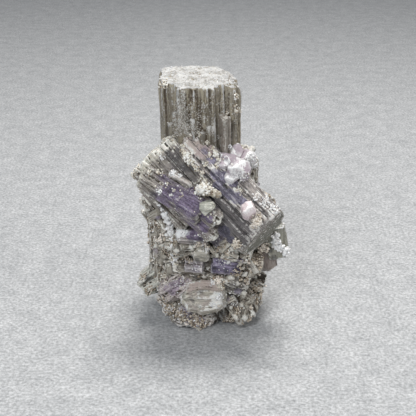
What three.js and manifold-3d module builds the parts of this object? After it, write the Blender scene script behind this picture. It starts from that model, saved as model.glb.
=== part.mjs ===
// Aragonite cluster: pseudo-hexagonal twinned columns grown through each other, with smaller
// crystals seated on them. Millimetres, +Z up, the origin at the middle of the flat broken
// underside that the cluster stands on. The front of the cluster looks along -Y.
import * as THREE from "three";
import { mergeVertices } from "three/addons/utils/BufferGeometryUtils.js";
import Module from "manifold-3d";

const wasm = await Module();
wasm.setup();

// Driving dimensions.
const CONTACT_GAP = 0.43; // between two crystals that only touch
const COLUMN_TOP = 79.6; // height of the upright column's top face, at its middle
const RIB_SIDES = 4; // sides of one rib, a thin crystal on the outside of a column
const BROKEN_SHARE = 0.25; // of the ribs end short of their column's end
const ROUGHNESS = 0.65;

// Repeatable irregularity: each call gives the next number between low and high, and the same
// seed always gives the same numbers.
function dice(seed) {
  let turn = 0;
  return (low, high) => {
    turn += 1;
    const wave = Math.sin(seed * 12.9898 + turn * 78.233) * 43758.5453;
    return low + (high - low) * (wave - Math.floor(wave));
  };
}

// A closed three.js geometry as a solid that can be joined and cut.
function solidOf(geometry) {
  const open = geometry.index ? geometry.toNonIndexed() : geometry.clone();
  open.deleteAttribute("normal");
  open.deleteAttribute("uv");
  const merged = mergeVertices(open, 1e-4);
  return new wasm.Manifold(
    new wasm.Mesh({
      numProp: 3,
      vertProperties: new Float32Array(merged.attributes.position.array),
      triVerts: new Uint32Array(merged.index.array),
    }),
  );
}

function geometryOf(solid) {
  const mesh = solid.getMesh();
  const geometry = new THREE.BufferGeometry();
  geometry.setAttribute("position", new THREE.BufferAttribute(mesh.vertProperties, 3));
  geometry.setIndex(new THREE.BufferAttribute(mesh.triVerts, 1));
  const flat = geometry.toNonIndexed();
  flat.computeVertexNormals();
  return flat;
}

function join(solids) {
  return solids.reduce((all, next) => all.add(next));
}

// A crystal's own frame: Z along the crystal, -Y towards what its broad face looks at.
function crystalFrame(from, to, faces) {
  const along = new THREE.Vector3().subVectors(to, from).normalize();
  const back = new THREE.Vector3(...faces).negate();
  back.addScaledVector(along, -back.dot(along)).normalize();
  const across = new THREE.Vector3().crossVectors(back, along);
  return new THREE.Matrix4().makeBasis(across, back, along).setPosition(from);
}

// The usual outline: broad front and back faces, pointed sides, as [x, y] corners.
const HEX_CORNERS = [[1, 0], [0.52, 1], [-0.52, 1], [-1, 0], [-0.52, -1], [0.52, -1]];

function hexOutline(wide, deep) {
  return HEX_CORNERS.map(([x, y]) => new THREE.Vector2((x * wide) / 2, (y * deep) / 2));
}

// The outline moved inwards by inset, or outwards where inset is negative.
function insetOutline(outline, inset) {
  return outline.map((corner, k) => {
    const before = outline[(k + outline.length - 1) % outline.length];
    const after = outline[(k + 1) % outline.length];
    const inA = corner.clone().sub(before).normalize();
    const inB = after.clone().sub(corner).normalize();
    const normal = new THREE.Vector2(-inA.y - inB.y, inA.x + inB.x).normalize();
    const share = Math.max(0.5, normal.dot(new THREE.Vector2(-inA.y, inA.x)));
    return corner.clone().addScaledVector(normal, inset / share);
  });
}

// A plain prism in the crystal's own frame. Its ends are at heights given by [x, y] => z.
function prism(outline, bottomAt, topAt) {
  const geometry = new THREE.ExtrudeGeometry(new THREE.Shape(outline), { depth: 1, bevelEnabled: false });
  const at = geometry.attributes.position;
  for (let k = 0; k < at.count; k++) {
    const end = at.getZ(k) > 0.5 ? topAt : bottomAt;
    at.setZ(k, end(at.getX(k), at.getY(k)));
  }
  return solidOf(geometry);
}

// One rib: a thin upright prism with its own width, turn and ends.
function rib(x, y, radius, turn, bottom, top) {
  const geometry = new THREE.CylinderGeometry(radius, radius, top - bottom, RIB_SIDES);
  geometry.rotateX(Math.PI / 2).rotateZ(turn).translate(x, y, (bottom + top) / 2);
  return solidOf(geometry);
}

// A column: a prism with ribs round it, whose ends are stepped and may slope across. grow makes it
// larger all over, which leaves the contact gap when it cuts a crystal that grew against it.
function column(crystal, grow = 0) {
  const { from, to, wide, deep, faces = [0, -1, 0], pitch = 0, step = 1, seed = 1 } = crystal;
  const { startSlope = [0, 0], endSlope = [0, 0] } = crystal;
  const start = new THREE.Vector3(...from);
  const end = new THREE.Vector3(...to);
  const long = start.distanceTo(end);
  const outline = crystal.outline
    ? crystal.outline.map(([x, y]) => new THREE.Vector2(x, y))
    : hexOutline(wide, deep);
  const inner = pitch ? step / 2 : 0;
  const bottomAt = (x, y) => startSlope[0] * x + startSlope[1] * y - grow;
  const topAt = (x, y) => long - inner + endSlope[0] * x + endSlope[1] * y + grow;
  const solids = [prism(insetOutline(outline, pitch * 0.2 - grow), bottomAt, topAt)];
  const seats = insetOutline(outline, pitch * 0.45);
  const roll = dice(seed);
  seats.forEach((corner, side) => {
    const next = seats[(side + 1) % seats.length];
    const ribs = pitch ? Math.max(1, Math.round(corner.distanceTo(next) / pitch)) : 0;
    for (let n = 0; n < ribs; n++) {
      const at = corner.clone().lerp(next, (n + roll(0.1, 0.6)) / ribs);
      const radius = pitch * roll(0.42, 0.66) + grow;
      const turn = roll(0, Math.PI * 2);
      const broken = roll(0, 1) < BROKEN_SHARE ? long * roll(0.1, 0.45) : 0;
      const high = topAt(at.x, at.y) + inner - broken - step * roll(0, 1);
      solids.push(rib(at.x, at.y, radius, turn, bottomAt(at.x, at.y), high));
    }
  });
  return join(solids).transform(crystalFrame(start, end, faces).elements);
}

// The crystals that grew through each other. Each starts at from and ends at to; wide and deep are
// across it; pitch is the width of its ribs; step is how uneven its ends are.
const UPRIGHT_OUTLINE = [
  [-12.4, -4.5], [-8, -9], [-6.2, -12.3], [4, -12.6], [6.6, -9.2], [10.6, -8.2],
  [12.2, -3.4], [9.6, 5.6], [4.6, 13.2], [-8, 14.4], [-12.8, 11.6],
];
const UPRIGHT_BACK_OUTLINE = [
  [-12.4, 3], [-2, 1.4], [10.6, 2.2], [9.6, 5.6], [4.6, 13.2], [-8, 14.4], [-12.8, 11.6],
];
const SLANTING_OUTLINE = [
  [8.6, -3], [8.2, 3.5], [2, 6], [-6.4, 5.6], [-9, 1.4], [-8.8, -3.4], [-1.4, -7],
];
const upright = [
  {
    from: [-2.2, -1, 30], to: [-3, -1, COLUMN_TOP - 0.5],
    outline: UPRIGHT_OUTLINE, pitch: 2.4, step: 0.7, seed: 8,
  },
  { from: [-2.2, -1, 60], to: [-3, -1, COLUMN_TOP], outline: UPRIGHT_BACK_OUTLINE },
];
const slanting = [
  // right slanting column
  {
    from: [-7.5, -11, 57.5], to: [16.2, -19, 35.6], outline: SLANTING_OUTLINE, faces: [-0.15, -1, 0.45],
    pitch: 2.6, step: 1.4, endSlope: [0, 0.4], seed: 11,
  },
  // left slanting blades, from the lowest to the highest
  {
    from: [-19.8, -15, 54], to: [2, -23.5, 41.5], wide: 9.5, deep: 8, faces: [-0.1, -1, 0.5],
    pitch: 2.2, startSlope: [0.4, 0], seed: 21,
  },
  {
    from: [-22.2, -15.6, 54.7], to: [-9, -20, 46.6], wide: 4.6, deep: 4,
    faces: [-0.1, -1, 0.5], pitch: 2, step: 0.8, seed: 25,
  },
  {
    from: [-19.4, -12, 49.6], to: [-6, -16, 36.5], wide: 7, deep: 7,
    faces: [-0.2, -1, 0.2], pitch: 2.4, step: 1.2, seed: 22,
  },
  {
    from: [-16.2, -14, 58.8], to: [-3, -19, 46], wide: 7.5, deep: 7,
    faces: [0, -1, 0.5], pitch: 2.2, seed: 23,
  },
  {
    from: [-12.2, -13.5, 62], to: [-3, -17, 51.5], wide: 7, deep: 6,
    faces: [0, -1, 0.4], pitch: 2.2, seed: 24,
  },
];
const flank = [
  { from: [-14.6, -5, 14], to: [-15, -6.5, 43], wide: 9, deep: 9, pitch: 2.6, step: 1.5, seed: 31 },
  { from: [-12, -9, 20], to: [-13.5, -11.5, 39], wide: 6, deep: 6, pitch: 2.4, step: 1.5, seed: 34 },
  { from: [12, -4, 36], to: [12.4, -4.5, 54.5], wide: 5.5, deep: 7, pitch: 2.4, step: 1.5, seed: 32 },
  { from: [6, -4, 46], to: [9.3, -7.5, 60], wide: 8, deep: 4, pitch: 2.2, seed: 33 },
];
const foot = [
  {
    from: [-1, 2, -2], to: [-2, 1, 38], wide: 25, deep: 24,
    faces: [0.4, -1, 0], pitch: 5, step: 2, seed: 41,
  },
  // behind
  { from: [3, 3, 12], to: [17, 12, 38], wide: 13, deep: 12, pitch: 4.6, step: 1.5, seed: 42 },
  { from: [-2, 4, 14], to: [-17, 12, 35], wide: 14, deep: 12, pitch: 4.6, step: 1.5, seed: 43 },
  { from: [0, 4, 14], to: [3, 20, 30], wide: 15, deep: 13, pitch: 4.6, step: 1.5, seed: 44 },
  { from: [0, 4, 12], to: [-7, 17, 3], wide: 16, deep: 13, pitch: 4.6, step: 1.5, seed: 47 },
  { from: [0, 3, 12], to: [13, 12, 5], wide: 14, deep: 12, pitch: 4.6, step: 1.5, seed: 53 },
  // sides
  { from: [0, 0, 14], to: [17, -1, 7], wide: 14, deep: 13, pitch: 3.4, step: 1.5, seed: 45 },
  { from: [0, 0, 14], to: [-16.5, -3, 9], wide: 13, deep: 12, pitch: 3.4, step: 1.5, seed: 46 },
  { from: [4, 0, 30], to: [19, -3, 26], wide: 12, deep: 11, pitch: 3.4, step: 1.5, seed: 48 },
  // front, below the slanting columns
  {
    from: [-13, -8, 30], to: [13.5, -11, 27.5], wide: 12, deep: 12,
    faces: [0, -1, 0.3], pitch: 3, step: 1.5, seed: 52,
  },
  { from: [-14, -10, 31], to: [-3, -15.5, 33.5], wide: 8, deep: 8, pitch: 2.6, step: 1.2, seed: 50 },
  { from: [-2, -12, 39], to: [9, -14, 28.5], wide: 10, deep: 9, pitch: 2.6, step: 1.2, seed: 54 },
  {
    from: [-11, -5, 22], to: [13, -8, 15], wide: 13, deep: 13,
    faces: [0, -1, 0.3], pitch: 3.2, step: 1.5, seed: 55,
  },
  {
    from: [2, -5, 20], to: [12, -7.5, 2], wide: 14, deep: 12,
    faces: [0.3, -1, 0.1], pitch: 2.8, step: 1.5, seed: 49,
  },
  {
    from: [-2, -5, 17], to: [-10, -7, 3], wide: 13, deep: 12,
    faces: [-0.3, -1, 0], pitch: 3.2, step: 1.5, seed: 56,
  },
  {
    from: [-10, -6, 2.5], to: [0, -10.5, 1.5], wide: 10, deep: 9,
    faces: [-0.3, -1, -0.6], pitch: 2.6, seed: 57,
  },
];

// A squared outline, for the blocky and tabular crystals.
const BLOCK_CORNERS = [
  [1, -0.7], [1, 0.75], [0.8, 1], [-0.85, 1], [-1, 0.7], [-1, -0.8], [-0.75, -1], [0.8, -1],
];

function blockOutline(wide, deep) {
  return BLOCK_CORNERS.map(([x, y]) => [(x * wide) / 2, (y * deep) / 2]);
}

// A crystal whose corners have grown round: full in the middle and smaller at both ends.
const BARREL_SIDES = 9;
const BARREL_PROFILE = [[0, 0], [0.66, 0], [0.92, 0.14], [1, 0.5], [0.9, 0.88], [0.68, 1], [0, 1]];

function barrel({ from, to, wide, deep, faces = [0, -1, 0] }, grow = 0) {
  const start = new THREE.Vector3(...from);
  const end = new THREE.Vector3(...to);
  const long = start.distanceTo(end);
  const points = BARREL_PROFILE.map(
    ([share, height]) => new THREE.Vector2(share, height * (long + 2 * grow) - grow),
  );
  const geometry = new THREE.LatheGeometry(points, BARREL_SIDES).rotateX(Math.PI / 2);
  geometry.scale(wide / 2 + grow, deep / 2 + grow, 1);
  return solidOf(geometry).transform(crystalFrame(start, end, faces).elements);
}

// A knob of druse: lumps of tiny crystals grown into one.
function knob({ lumps }, grow = 0) {
  return join(
    lumps.map(([x, y, z, radius], n) => {
      const lump = new THREE.DodecahedronGeometry(radius + grow, 0);
      return solidOf(lump.rotateX(n).rotateZ(n * 2).translate(x, y, z));
    }),
  );
}

// The crystals seated on the others. Each one grew against what was there before it, so it is cut
// by the crystals listed above it, with the contact gap.
const seated = [
  {
    name: "upright_satellite",
    colour: 0x8d8577,
    crystals: [
      {
        from: [4.2, -11.5, 55], to: [4.4, -11.8, 69.5],
        wide: 4.6, deep: 4.6, pitch: 1.7, step: 0.8, seed: 61,
      },
    ],
  },
  {
    name: "white_blocks",
    colour: 0xe9e4e4,
    crystals: [
      { from: [5.4, -8, 55.5], to: [6, -12.6, 60.3], outline: blockOutline(5.5, 5) },
      { from: [8.2, -8, 54], to: [9, -12, 58.5], outline: blockOutline(6, 5.4), faces: [0.5, -1, 0] },
      { from: [11, -6, 54], to: [12.2, -9.6, 58.2], outline: blockOutline(5, 4.6), faces: [0.3, 0, 1] },
      { from: [4.6, -14, 56], to: [5.8, -18.4, 58], outline: blockOutline(5, 4.2), faces: [0.2, 0, 1] },
      {
        from: [7.2, -12, 52.5], to: [8.6, -17.8, 56],
        outline: blockOutline(7, 5.4), faces: [-0.3, 0, 1],
      },
    ],
  },
  {
    name: "cream_druse_knob",
    colour: 0xd9ceb4,
    make: knob,
    crystals: [{
      lumps: [
        [-2.6, -21.2, 51.4, 2.1],
        [-0.6, -22, 50.9, 2.3],
        [1.3, -22, 50.3, 1.8],
        [3, -21.6, 49.2, 1.6],
      ],
    }],
  },
  {
    name: "pale_green_crystal",
    colour: 0xb9bba6,
    make: barrel,
    crystals: [{ from: [-4.4, -23.2, 46.6], to: [0.8, -24.4, 47.2], wide: 4.6, deep: 4.4 }],
  },
  {
    name: "pale_finger_crystal",
    colour: 0xcfc9c0,
    crystals: [{ from: [-12.6, -19.2, 56.2], to: [-6.8, -21.2, 53], wide: 2.8, deep: 2.8, seed: 64 }],
  },
  {
    name: "pink_crystal",
    colour: 0xd8c3bf,
    crystals: [
      {
        from: [9.6, -21.5, 46.3], to: [10.6, -26.4, 45.2],
        wide: 5.6, deep: 5, faces: [0.3, 0, 1],
      },
    ],
  },
  {
    name: "right_side_crystal",
    colour: 0x9a9c8c,
    crystals: [
      {
        from: [18.4, -6.4, 34.2], to: [21.2, -8.6, 23],
        outline: blockOutline(7, 7), faces: [0.4, -1, 0],
      },
      { from: [12, -6, 31], to: [21, -8, 27.5], outline: blockOutline(6, 6) },
    ],
  },
  {
    name: "right_hanging_crystal",
    colour: 0x8a7b76,
    crystals: [{ from: [15.5, -7, 27], to: [18.6, -9.6, 19.6], outline: blockOutline(5.2, 5.5) }],
  },
  {
    name: "waist_violet_prism",
    colour: 0x7f7190,
    crystals: [
      {
        from: [-10.4, -17, 34.8], to: [-0.4, -18.2, 34],
        wide: 5.6, deep: 5.4, pitch: 2, step: 0.8, seed: 65,
      },
    ],
  },
  {
    name: "waist_olive_block",
    colour: 0x9b9684,
    crystals: [{ from: [-5, -16, 28.8], to: [0.2, -16.8, 28.4], outline: blockOutline(5.2, 4.4) }],
  },
  {
    name: "waist_violet_block",
    colour: 0x6d6282,
    crystals: [
      {
        from: [0.4, -13.4, 23.4], to: [9.8, -13.2, 22.6],
        outline: blockOutline(5.6, 5.4), faces: [0, -1, 0.3],
      },
    ],
  },
  {
    name: "waist_lavender_block",
    colour: 0x9c94a4,
    crystals: [
      {
        from: [-8, -13.6, 23], to: [-1.8, -14.2, 22.8],
        outline: blockOutline(4.4, 5), faces: [0, -1, 0.3],
      },
    ],
  },
  {
    name: "waist_brown_block",
    colour: 0x958b78,
    crystals: [
      {
        from: [7, -8, 22], to: [17, -9.4, 20.8],
        wide: 7.5, deep: 8, pitch: 2.6, step: 1.2, seed: 66,
      },
    ],
  },
  {
    name: "barrel_crystal",
    colour: 0xaaa28c,
    make: barrel,
    crystals: [{ from: [-9.6, -13, 11], to: [5, -15.4, 12.6], wide: 11.5, deep: 9 }],
  },
  {
    name: "foot_violet_crystal",
    colour: 0x8d8290,
    make: barrel,
    crystals: [{ from: [-15.2, -9.6, 10.6], to: [-6.6, -12.2, 17.4], wide: 8.4, deep: 8 }],
  },
  {
    name: "left_foot_crystal",
    colour: 0x8a8a74,
    crystals: [
      {
        from: [-11, -6, 19.4], to: [-22, -3.2, 10.6],
        wide: 8.6, deep: 8, pitch: 2.4, step: 1.6, seed: 67,
      },
    ],
  },
];

const group = new THREE.Group();

function addNode(name, solid, colour) {
  const material = new THREE.MeshStandardMaterial({
    color: colour,
    roughness: ROUGHNESS,
    metalness: 0,
  });
  const mesh = new THREE.Mesh(geometryOf(solid), material);
  mesh.name = name;
  group.add(mesh);
}

// The largest closed shell of a solid: pockets sealed between the crystals are filled.
function outerBody(solid) {
  return solid.decompose().reduce((big, next) => (next.volume() > big.volume() ? next : big));
}

// The cluster was broken off flat underneath.
const SLAB = 120;
const underside = solidOf(new THREE.BoxGeometry(SLAB, SLAB, SLAB).translate(0, 0, -SLAB / 2));
const grownCrystals = [...upright, ...slanting, ...flank, ...foot];
const grown = join(grownCrystals.map((crystal) => column(crystal))).subtract(underside);
addNode("grown_columns", outerBody(grown), 0x8f8878);

let taken = join(grownCrystals.map((crystal) => column(crystal, CONTACT_GAP)));
for (const { name, colour, crystals, make = column } of seated) {
  const whole = join(crystals.map((crystal) => make(crystal)));
  addNode(name, outerBody(whole.subtract(taken).subtract(underside)), colour);
  taken = taken.add(join(crystals.map((crystal) => make(crystal, CONTACT_GAP))));
}

export default group;
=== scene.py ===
# Aragonite cluster: an upright ribbed column, two sheaves of columns slanting across its front, a
# waist and a foot of blocky crystals, and druse over all of it. Each section below makes one
# crystal, or one group of like crystals, from its shape to its finish. Crystals are shaped in
# millimetres, standing on their own end, and then laid in their place.
import math

import bpy
import numpy as np
from mathutils import Matrix, Vector, noise
from mathutils.bvhtree import BVHTree


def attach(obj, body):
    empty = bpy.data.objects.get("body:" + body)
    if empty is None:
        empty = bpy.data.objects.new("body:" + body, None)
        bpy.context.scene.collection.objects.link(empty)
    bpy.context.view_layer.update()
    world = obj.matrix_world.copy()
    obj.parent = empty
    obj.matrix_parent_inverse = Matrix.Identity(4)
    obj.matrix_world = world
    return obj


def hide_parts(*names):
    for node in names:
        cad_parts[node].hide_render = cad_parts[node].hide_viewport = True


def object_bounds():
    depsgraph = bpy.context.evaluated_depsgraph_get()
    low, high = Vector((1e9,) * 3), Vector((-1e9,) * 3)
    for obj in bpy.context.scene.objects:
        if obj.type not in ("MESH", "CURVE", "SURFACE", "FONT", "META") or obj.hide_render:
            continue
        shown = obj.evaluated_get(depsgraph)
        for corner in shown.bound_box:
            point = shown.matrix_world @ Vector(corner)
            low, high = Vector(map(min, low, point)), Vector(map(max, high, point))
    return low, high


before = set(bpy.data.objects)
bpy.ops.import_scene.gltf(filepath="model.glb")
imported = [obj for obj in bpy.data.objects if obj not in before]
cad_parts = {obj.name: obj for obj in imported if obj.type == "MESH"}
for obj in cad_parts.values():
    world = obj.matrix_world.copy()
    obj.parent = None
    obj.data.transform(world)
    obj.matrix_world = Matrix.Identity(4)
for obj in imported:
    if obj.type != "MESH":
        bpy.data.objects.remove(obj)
cad_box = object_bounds()


# ---- Studio ------------------------------------------------------------------------------
# A pale stone floor, one broad lamp overhead and behind, a weaker one in front and a faint one
# at the right, soft light from all round, and the camera where an eye over a table would be.
CAMERA_PLACE = (-0.00067, -0.29793, 0.15686)
CAMERA_DOWN = math.radians(22)
CAMERA_FOCAL_PIXELS = 1000
VIEW_PIXELS = 416
SENSOR = 36

camera_data = bpy.data.cameras.new("camera")
camera_data.sensor_width = SENSOR
camera_data.lens = SENSOR * CAMERA_FOCAL_PIXELS / VIEW_PIXELS
camera_data.clip_start = 0.01
camera = bpy.data.objects.new("camera", camera_data)
camera.location = CAMERA_PLACE
camera.rotation_euler = (math.pi / 2 - CAMERA_DOWN, 0, 0)
bpy.context.scene.collection.objects.link(camera)
bpy.context.scene.camera = camera


def area_lamp(name, place, aim, size, watts, colour):
    """A round soft lamp at a place, turned to what it is aimed at."""
    lamp = bpy.data.lights.new(name, "AREA")
    lamp.shape = "DISK"
    lamp.size = size
    lamp.energy = watts
    lamp.color = colour
    holder = bpy.data.objects.new(name, lamp)
    holder.location = place
    holder.rotation_euler = (Vector(aim) - Vector(place)).to_track_quat("-Z", "Y").to_euler()
    bpy.context.scene.collection.objects.link(holder)


area_lamp("overhead lamp", (0.05, 0.14, 0.58), (0, 0, 0.03), 0.26, 3.1, (1.0, 0.985, 0.96))
area_lamp("front lamp", (-0.22, -0.52, 0.45), (0, 0, 0.04), 0.26, 2.2, (0.95, 0.975, 1.0))
area_lamp("side lamp", (0.46, -0.3, 0.3), (0, 0, 0.04), 0.2, 0.5, (1.0, 0.98, 0.95))

room = bpy.data.worlds.new("room")
room.use_nodes = True
room.node_tree.nodes["Background"].inputs["Color"].default_value = (0.9, 0.94, 1.0, 1)
room.node_tree.nodes["Background"].inputs["Strength"].default_value = 0.255
bpy.context.scene.world = room
bpy.context.scene.view_settings.view_transform = "Standard"


def only(thing):
    """Selects one object alone."""
    bpy.ops.object.select_all(action="DESELECT")
    thing.select_set(True)
    bpy.context.view_layer.objects.active = thing


def add(tree, kind, place, **values):
    """Adds a node at a place, sets its properties, and the inputs that are named like them."""
    made = tree.nodes.new(kind)
    made.location = place
    for key, value in values.items():
        if hasattr(made, key):
            setattr(made, key, value)
        else:
            made.inputs[key.replace("_", " ")].default_value = value
    return made


def wire(tree, *pairs):
    """Links pairs of sockets."""
    for source, target in pairs:
        tree.links.new(source, target)


bpy.ops.object.select_all(action="DESELECT")
bpy.ops.mesh.primitive_plane_add(size=3, location=(0, 0, -0.0002))
floor = bpy.context.object
floor.name = "floor"
floor_material = bpy.data.materials.new("floor stone")
floor_material.use_nodes = True
tree = floor_material.node_tree
stone = tree.nodes["Principled BSDF"]
stone.inputs["Roughness"].default_value = 0.75
where = add(tree, "ShaderNodeTexCoord", (-1100, 0))
mottle = add(tree, "ShaderNodeTexNoise", (-900, 150), Scale=130, Detail=9, Roughness=0.85)
speck = add(tree, "ShaderNodeTexNoise", (-900, -150), Scale=950, Detail=5, Roughness=0.75)
shade = add(tree, "ShaderNodeValToRGB", (-650, 150))
shade.color_ramp.elements[0].position = 0.33
shade.color_ramp.elements[0].color = (0.455, 0.465, 0.475, 1)
shade.color_ramp.elements[1].position = 0.66
shade.color_ramp.elements[1].color = (0.725, 0.73, 0.735, 1)
pits = add(tree, "ShaderNodeValToRGB", (-650, -150))
pits.color_ramp.elements[0].position = 0.37
pits.color_ramp.elements[0].color = (0.5, 0.5, 0.5, 1)
pits.color_ramp.elements[1].position = 0.62
both = add(tree, "ShaderNodeMix", (-350, 0), data_type="RGBA", blend_type="MULTIPLY")
both.inputs["Factor"].default_value = 1
wire(tree, (where.outputs["Object"], mottle.inputs["Vector"]),
     (where.outputs["Object"], speck.inputs["Vector"]),
     (mottle.outputs["Fac"], shade.inputs["Fac"]), (speck.outputs["Fac"], pits.inputs["Fac"]),
     (shade.outputs["Color"], both.inputs["A"]), (pits.outputs["Color"], both.inputs["B"]),
     (both.outputs["Result"], stone.inputs["Base Color"]))
floor.data.materials.append(floor_material)


# ---- Upright column ----------------------------------------------------------------------
# The tallest crystal: a twinned column, grown from hundreds of thin ribs side by side, olive
# brown and dull, with a rough whitish broken top. It runs down into the middle of the foot.
UPRIGHT_OUTLINE = [(-12.1, -4.3), (-7.8, -8.7), (-6.1, -12), (3.8, -12.3), (6.4, -9), (10.3, -8),
                   (11.8, -3.3), (9.3, 5.4), (4.5, 12.9), (-7.8, 14.1), (-12.4, 11.3)]
UPRIGHT_STUBS = [(-2.1, -12, 74.2, 0.85, 14), (-2.2, -12.4, 70.6, 0.95, 10),
                 (0.3, -12.6, 66.6, 1.2, 8), (-4.6, -12.2, 69, 1.2, 10), (-7, -11.2, 72, 1.2, 12),
                 (-8.6, -10, 68.4, 1.4, 10), (-5.9, -12, 74.6, 0.9, 12),
                 (2.2, -12.3, 68.2, 0.8, 9), (-6.4, -12.2, 66.6, 1.3, 8)]
UPRIGHT_FOOT = (-2.2, -1, 34)
UPRIGHT_HEAD = (-3.1, -1, 80.1)
UPRIGHT_PALE = [(183, 94, 1.5), (182, 102, 2, 1.2), (181, 111, 2.6, 1.2), (182, 121, 3, 1.2),
                (190, 128, 3), (203, 106, 1.3), (203, 119, 1.6), (211, 131, 1.6), (225, 119, 1.4),
                (164, 84, 2)]
UPRIGHT_DARK_AND_SHADE = [(170, 132, 3, 0.6), (234, 128, 2, 0.8), (199, 122, 1.5), (212, 120, 1.5, 0.8),
                (168, 142, 4), (226, 73, 2.6, 0.6), (174, 78, 1.6, 0.35), (204, 71, 2, 0.35),
                (214, 80, 1.6, 0.35), (186, 84, 1.4, 0.3), (236, 86, 1.6, 0.4), (195, 136, 4, 0.6),
                (208, 138, 4, 0.6), (222, 134, 4, 0.6), (205, 114, 4, 0.5), (214, 124, 4, 0.5),
                (164, 100, 4, 0.35), (165, 118, 5, 0.5), (168, 134, 5, 0.75), (174, 128, 3, 0.5),
                (228, 138, 4, 0.6), (214, 142, 3, 0.8)]

bpy.ops.object.select_all(action="DESELECT")
bpy.ops.mesh.primitive_cylinder_add(vertices=6, radius=1, depth=1, location=(0, 0, 0.5))
rib_shape = bpy.context.object
rib_shape.name = "rib_shape"
bpy.ops.object.transform_apply(location=True)
bpy.ops.object.mode_set(mode="EDIT")
bpy.ops.mesh.select_all(action="SELECT")
bpy.ops.mesh.bisect(plane_co=(0, 0, 0.97), plane_no=(0, 0, 1))
bpy.ops.mesh.select_all(action="DESELECT")
bpy.ops.mesh.select_mode(type="VERT")
bpy.ops.object.mode_set(mode="OBJECT")
for vertex in rib_shape.data.vertices:
    vertex.select = vertex.co.z > 0.99
bpy.ops.object.mode_set(mode="EDIT")
bpy.ops.transform.resize(value=(0.55, 0.75, 1))
bpy.ops.object.mode_set(mode="OBJECT")
rib_shape.hide_render = True


def arrays_of(mesh):
    """The points, corners and first corner of each face of a mesh."""
    points = np.empty(len(mesh.vertices) * 3)
    mesh.vertices.foreach_get("co", points)
    corners = np.empty(len(mesh.loops), dtype=int)
    mesh.loops.foreach_get("vertex_index", corners)
    starts = np.empty(len(mesh.polygons), dtype=int)
    mesh.polygons.foreach_get("loop_start", starts)
    return points.reshape(-1, 3), corners, starts


def copies(name, shape, places):
    """One object of many copies of a shape, one at each 4x4 place."""
    points, corners, starts = arrays_of(shape.data)
    places = np.array(places)
    count = len(places)
    laid = np.einsum("nij,vj->nvi", places[:, :3, :3], points) + places[:, None, :3, 3]
    number = np.arange(count)[:, None]
    mesh = bpy.data.meshes.new(name)
    mesh.vertices.add(count * len(points))
    mesh.vertices.foreach_set("co", laid.ravel())
    mesh.loops.add(count * len(corners))
    mesh.loops.foreach_set("vertex_index", (corners + number * len(points)).ravel())
    mesh.polygons.add(count * len(starts))
    mesh.polygons.foreach_set("loop_start", (starts + number * len(corners)).ravel())
    mesh.update(calc_edges=True)
    made = bpy.data.objects.new(name, mesh)
    bpy.context.scene.collection.objects.link(made)
    return made


def rib_place(x, y, bottom, top, radius, turn, chance, lean):
    """Where one rib stands: its middle, ends, radius and turn, with a small lean of its own."""
    tip = Matrix.Rotation(math.radians(chance.uniform(-lean, lean)), 4, "X")
    tip = tip @ Matrix.Rotation(math.radians(chance.uniform(-lean, lean)), 4, "Y")
    turn = Matrix.Rotation(turn, 4, "Z")
    size = Matrix.Diagonal((radius, radius, top - bottom, 1))
    return Matrix.Translation((x, y, bottom)) @ tip @ turn @ size


def inside(x, y, outline):
    """Whether a point lies within an outline."""
    hit = False
    for (ax, ay), (bx, by) in zip(outline, outline[1:] + outline[:1]):
        if (ay > y) != (by > y) and x < (bx - ax) * (y - ay) / (by - ay) + ax:
            hit = not hit
    return hit


def shrunk(outline, inset):
    """An outline drawn in towards its middle."""
    middle = np.mean(outline, axis=0)
    return [tuple(middle + (np.array(c) - middle) * (1 - inset / np.linalg.norm(c - middle)))
            for c in outline]


def level(x, y):
    """The slope of a square end."""
    return 0


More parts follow.
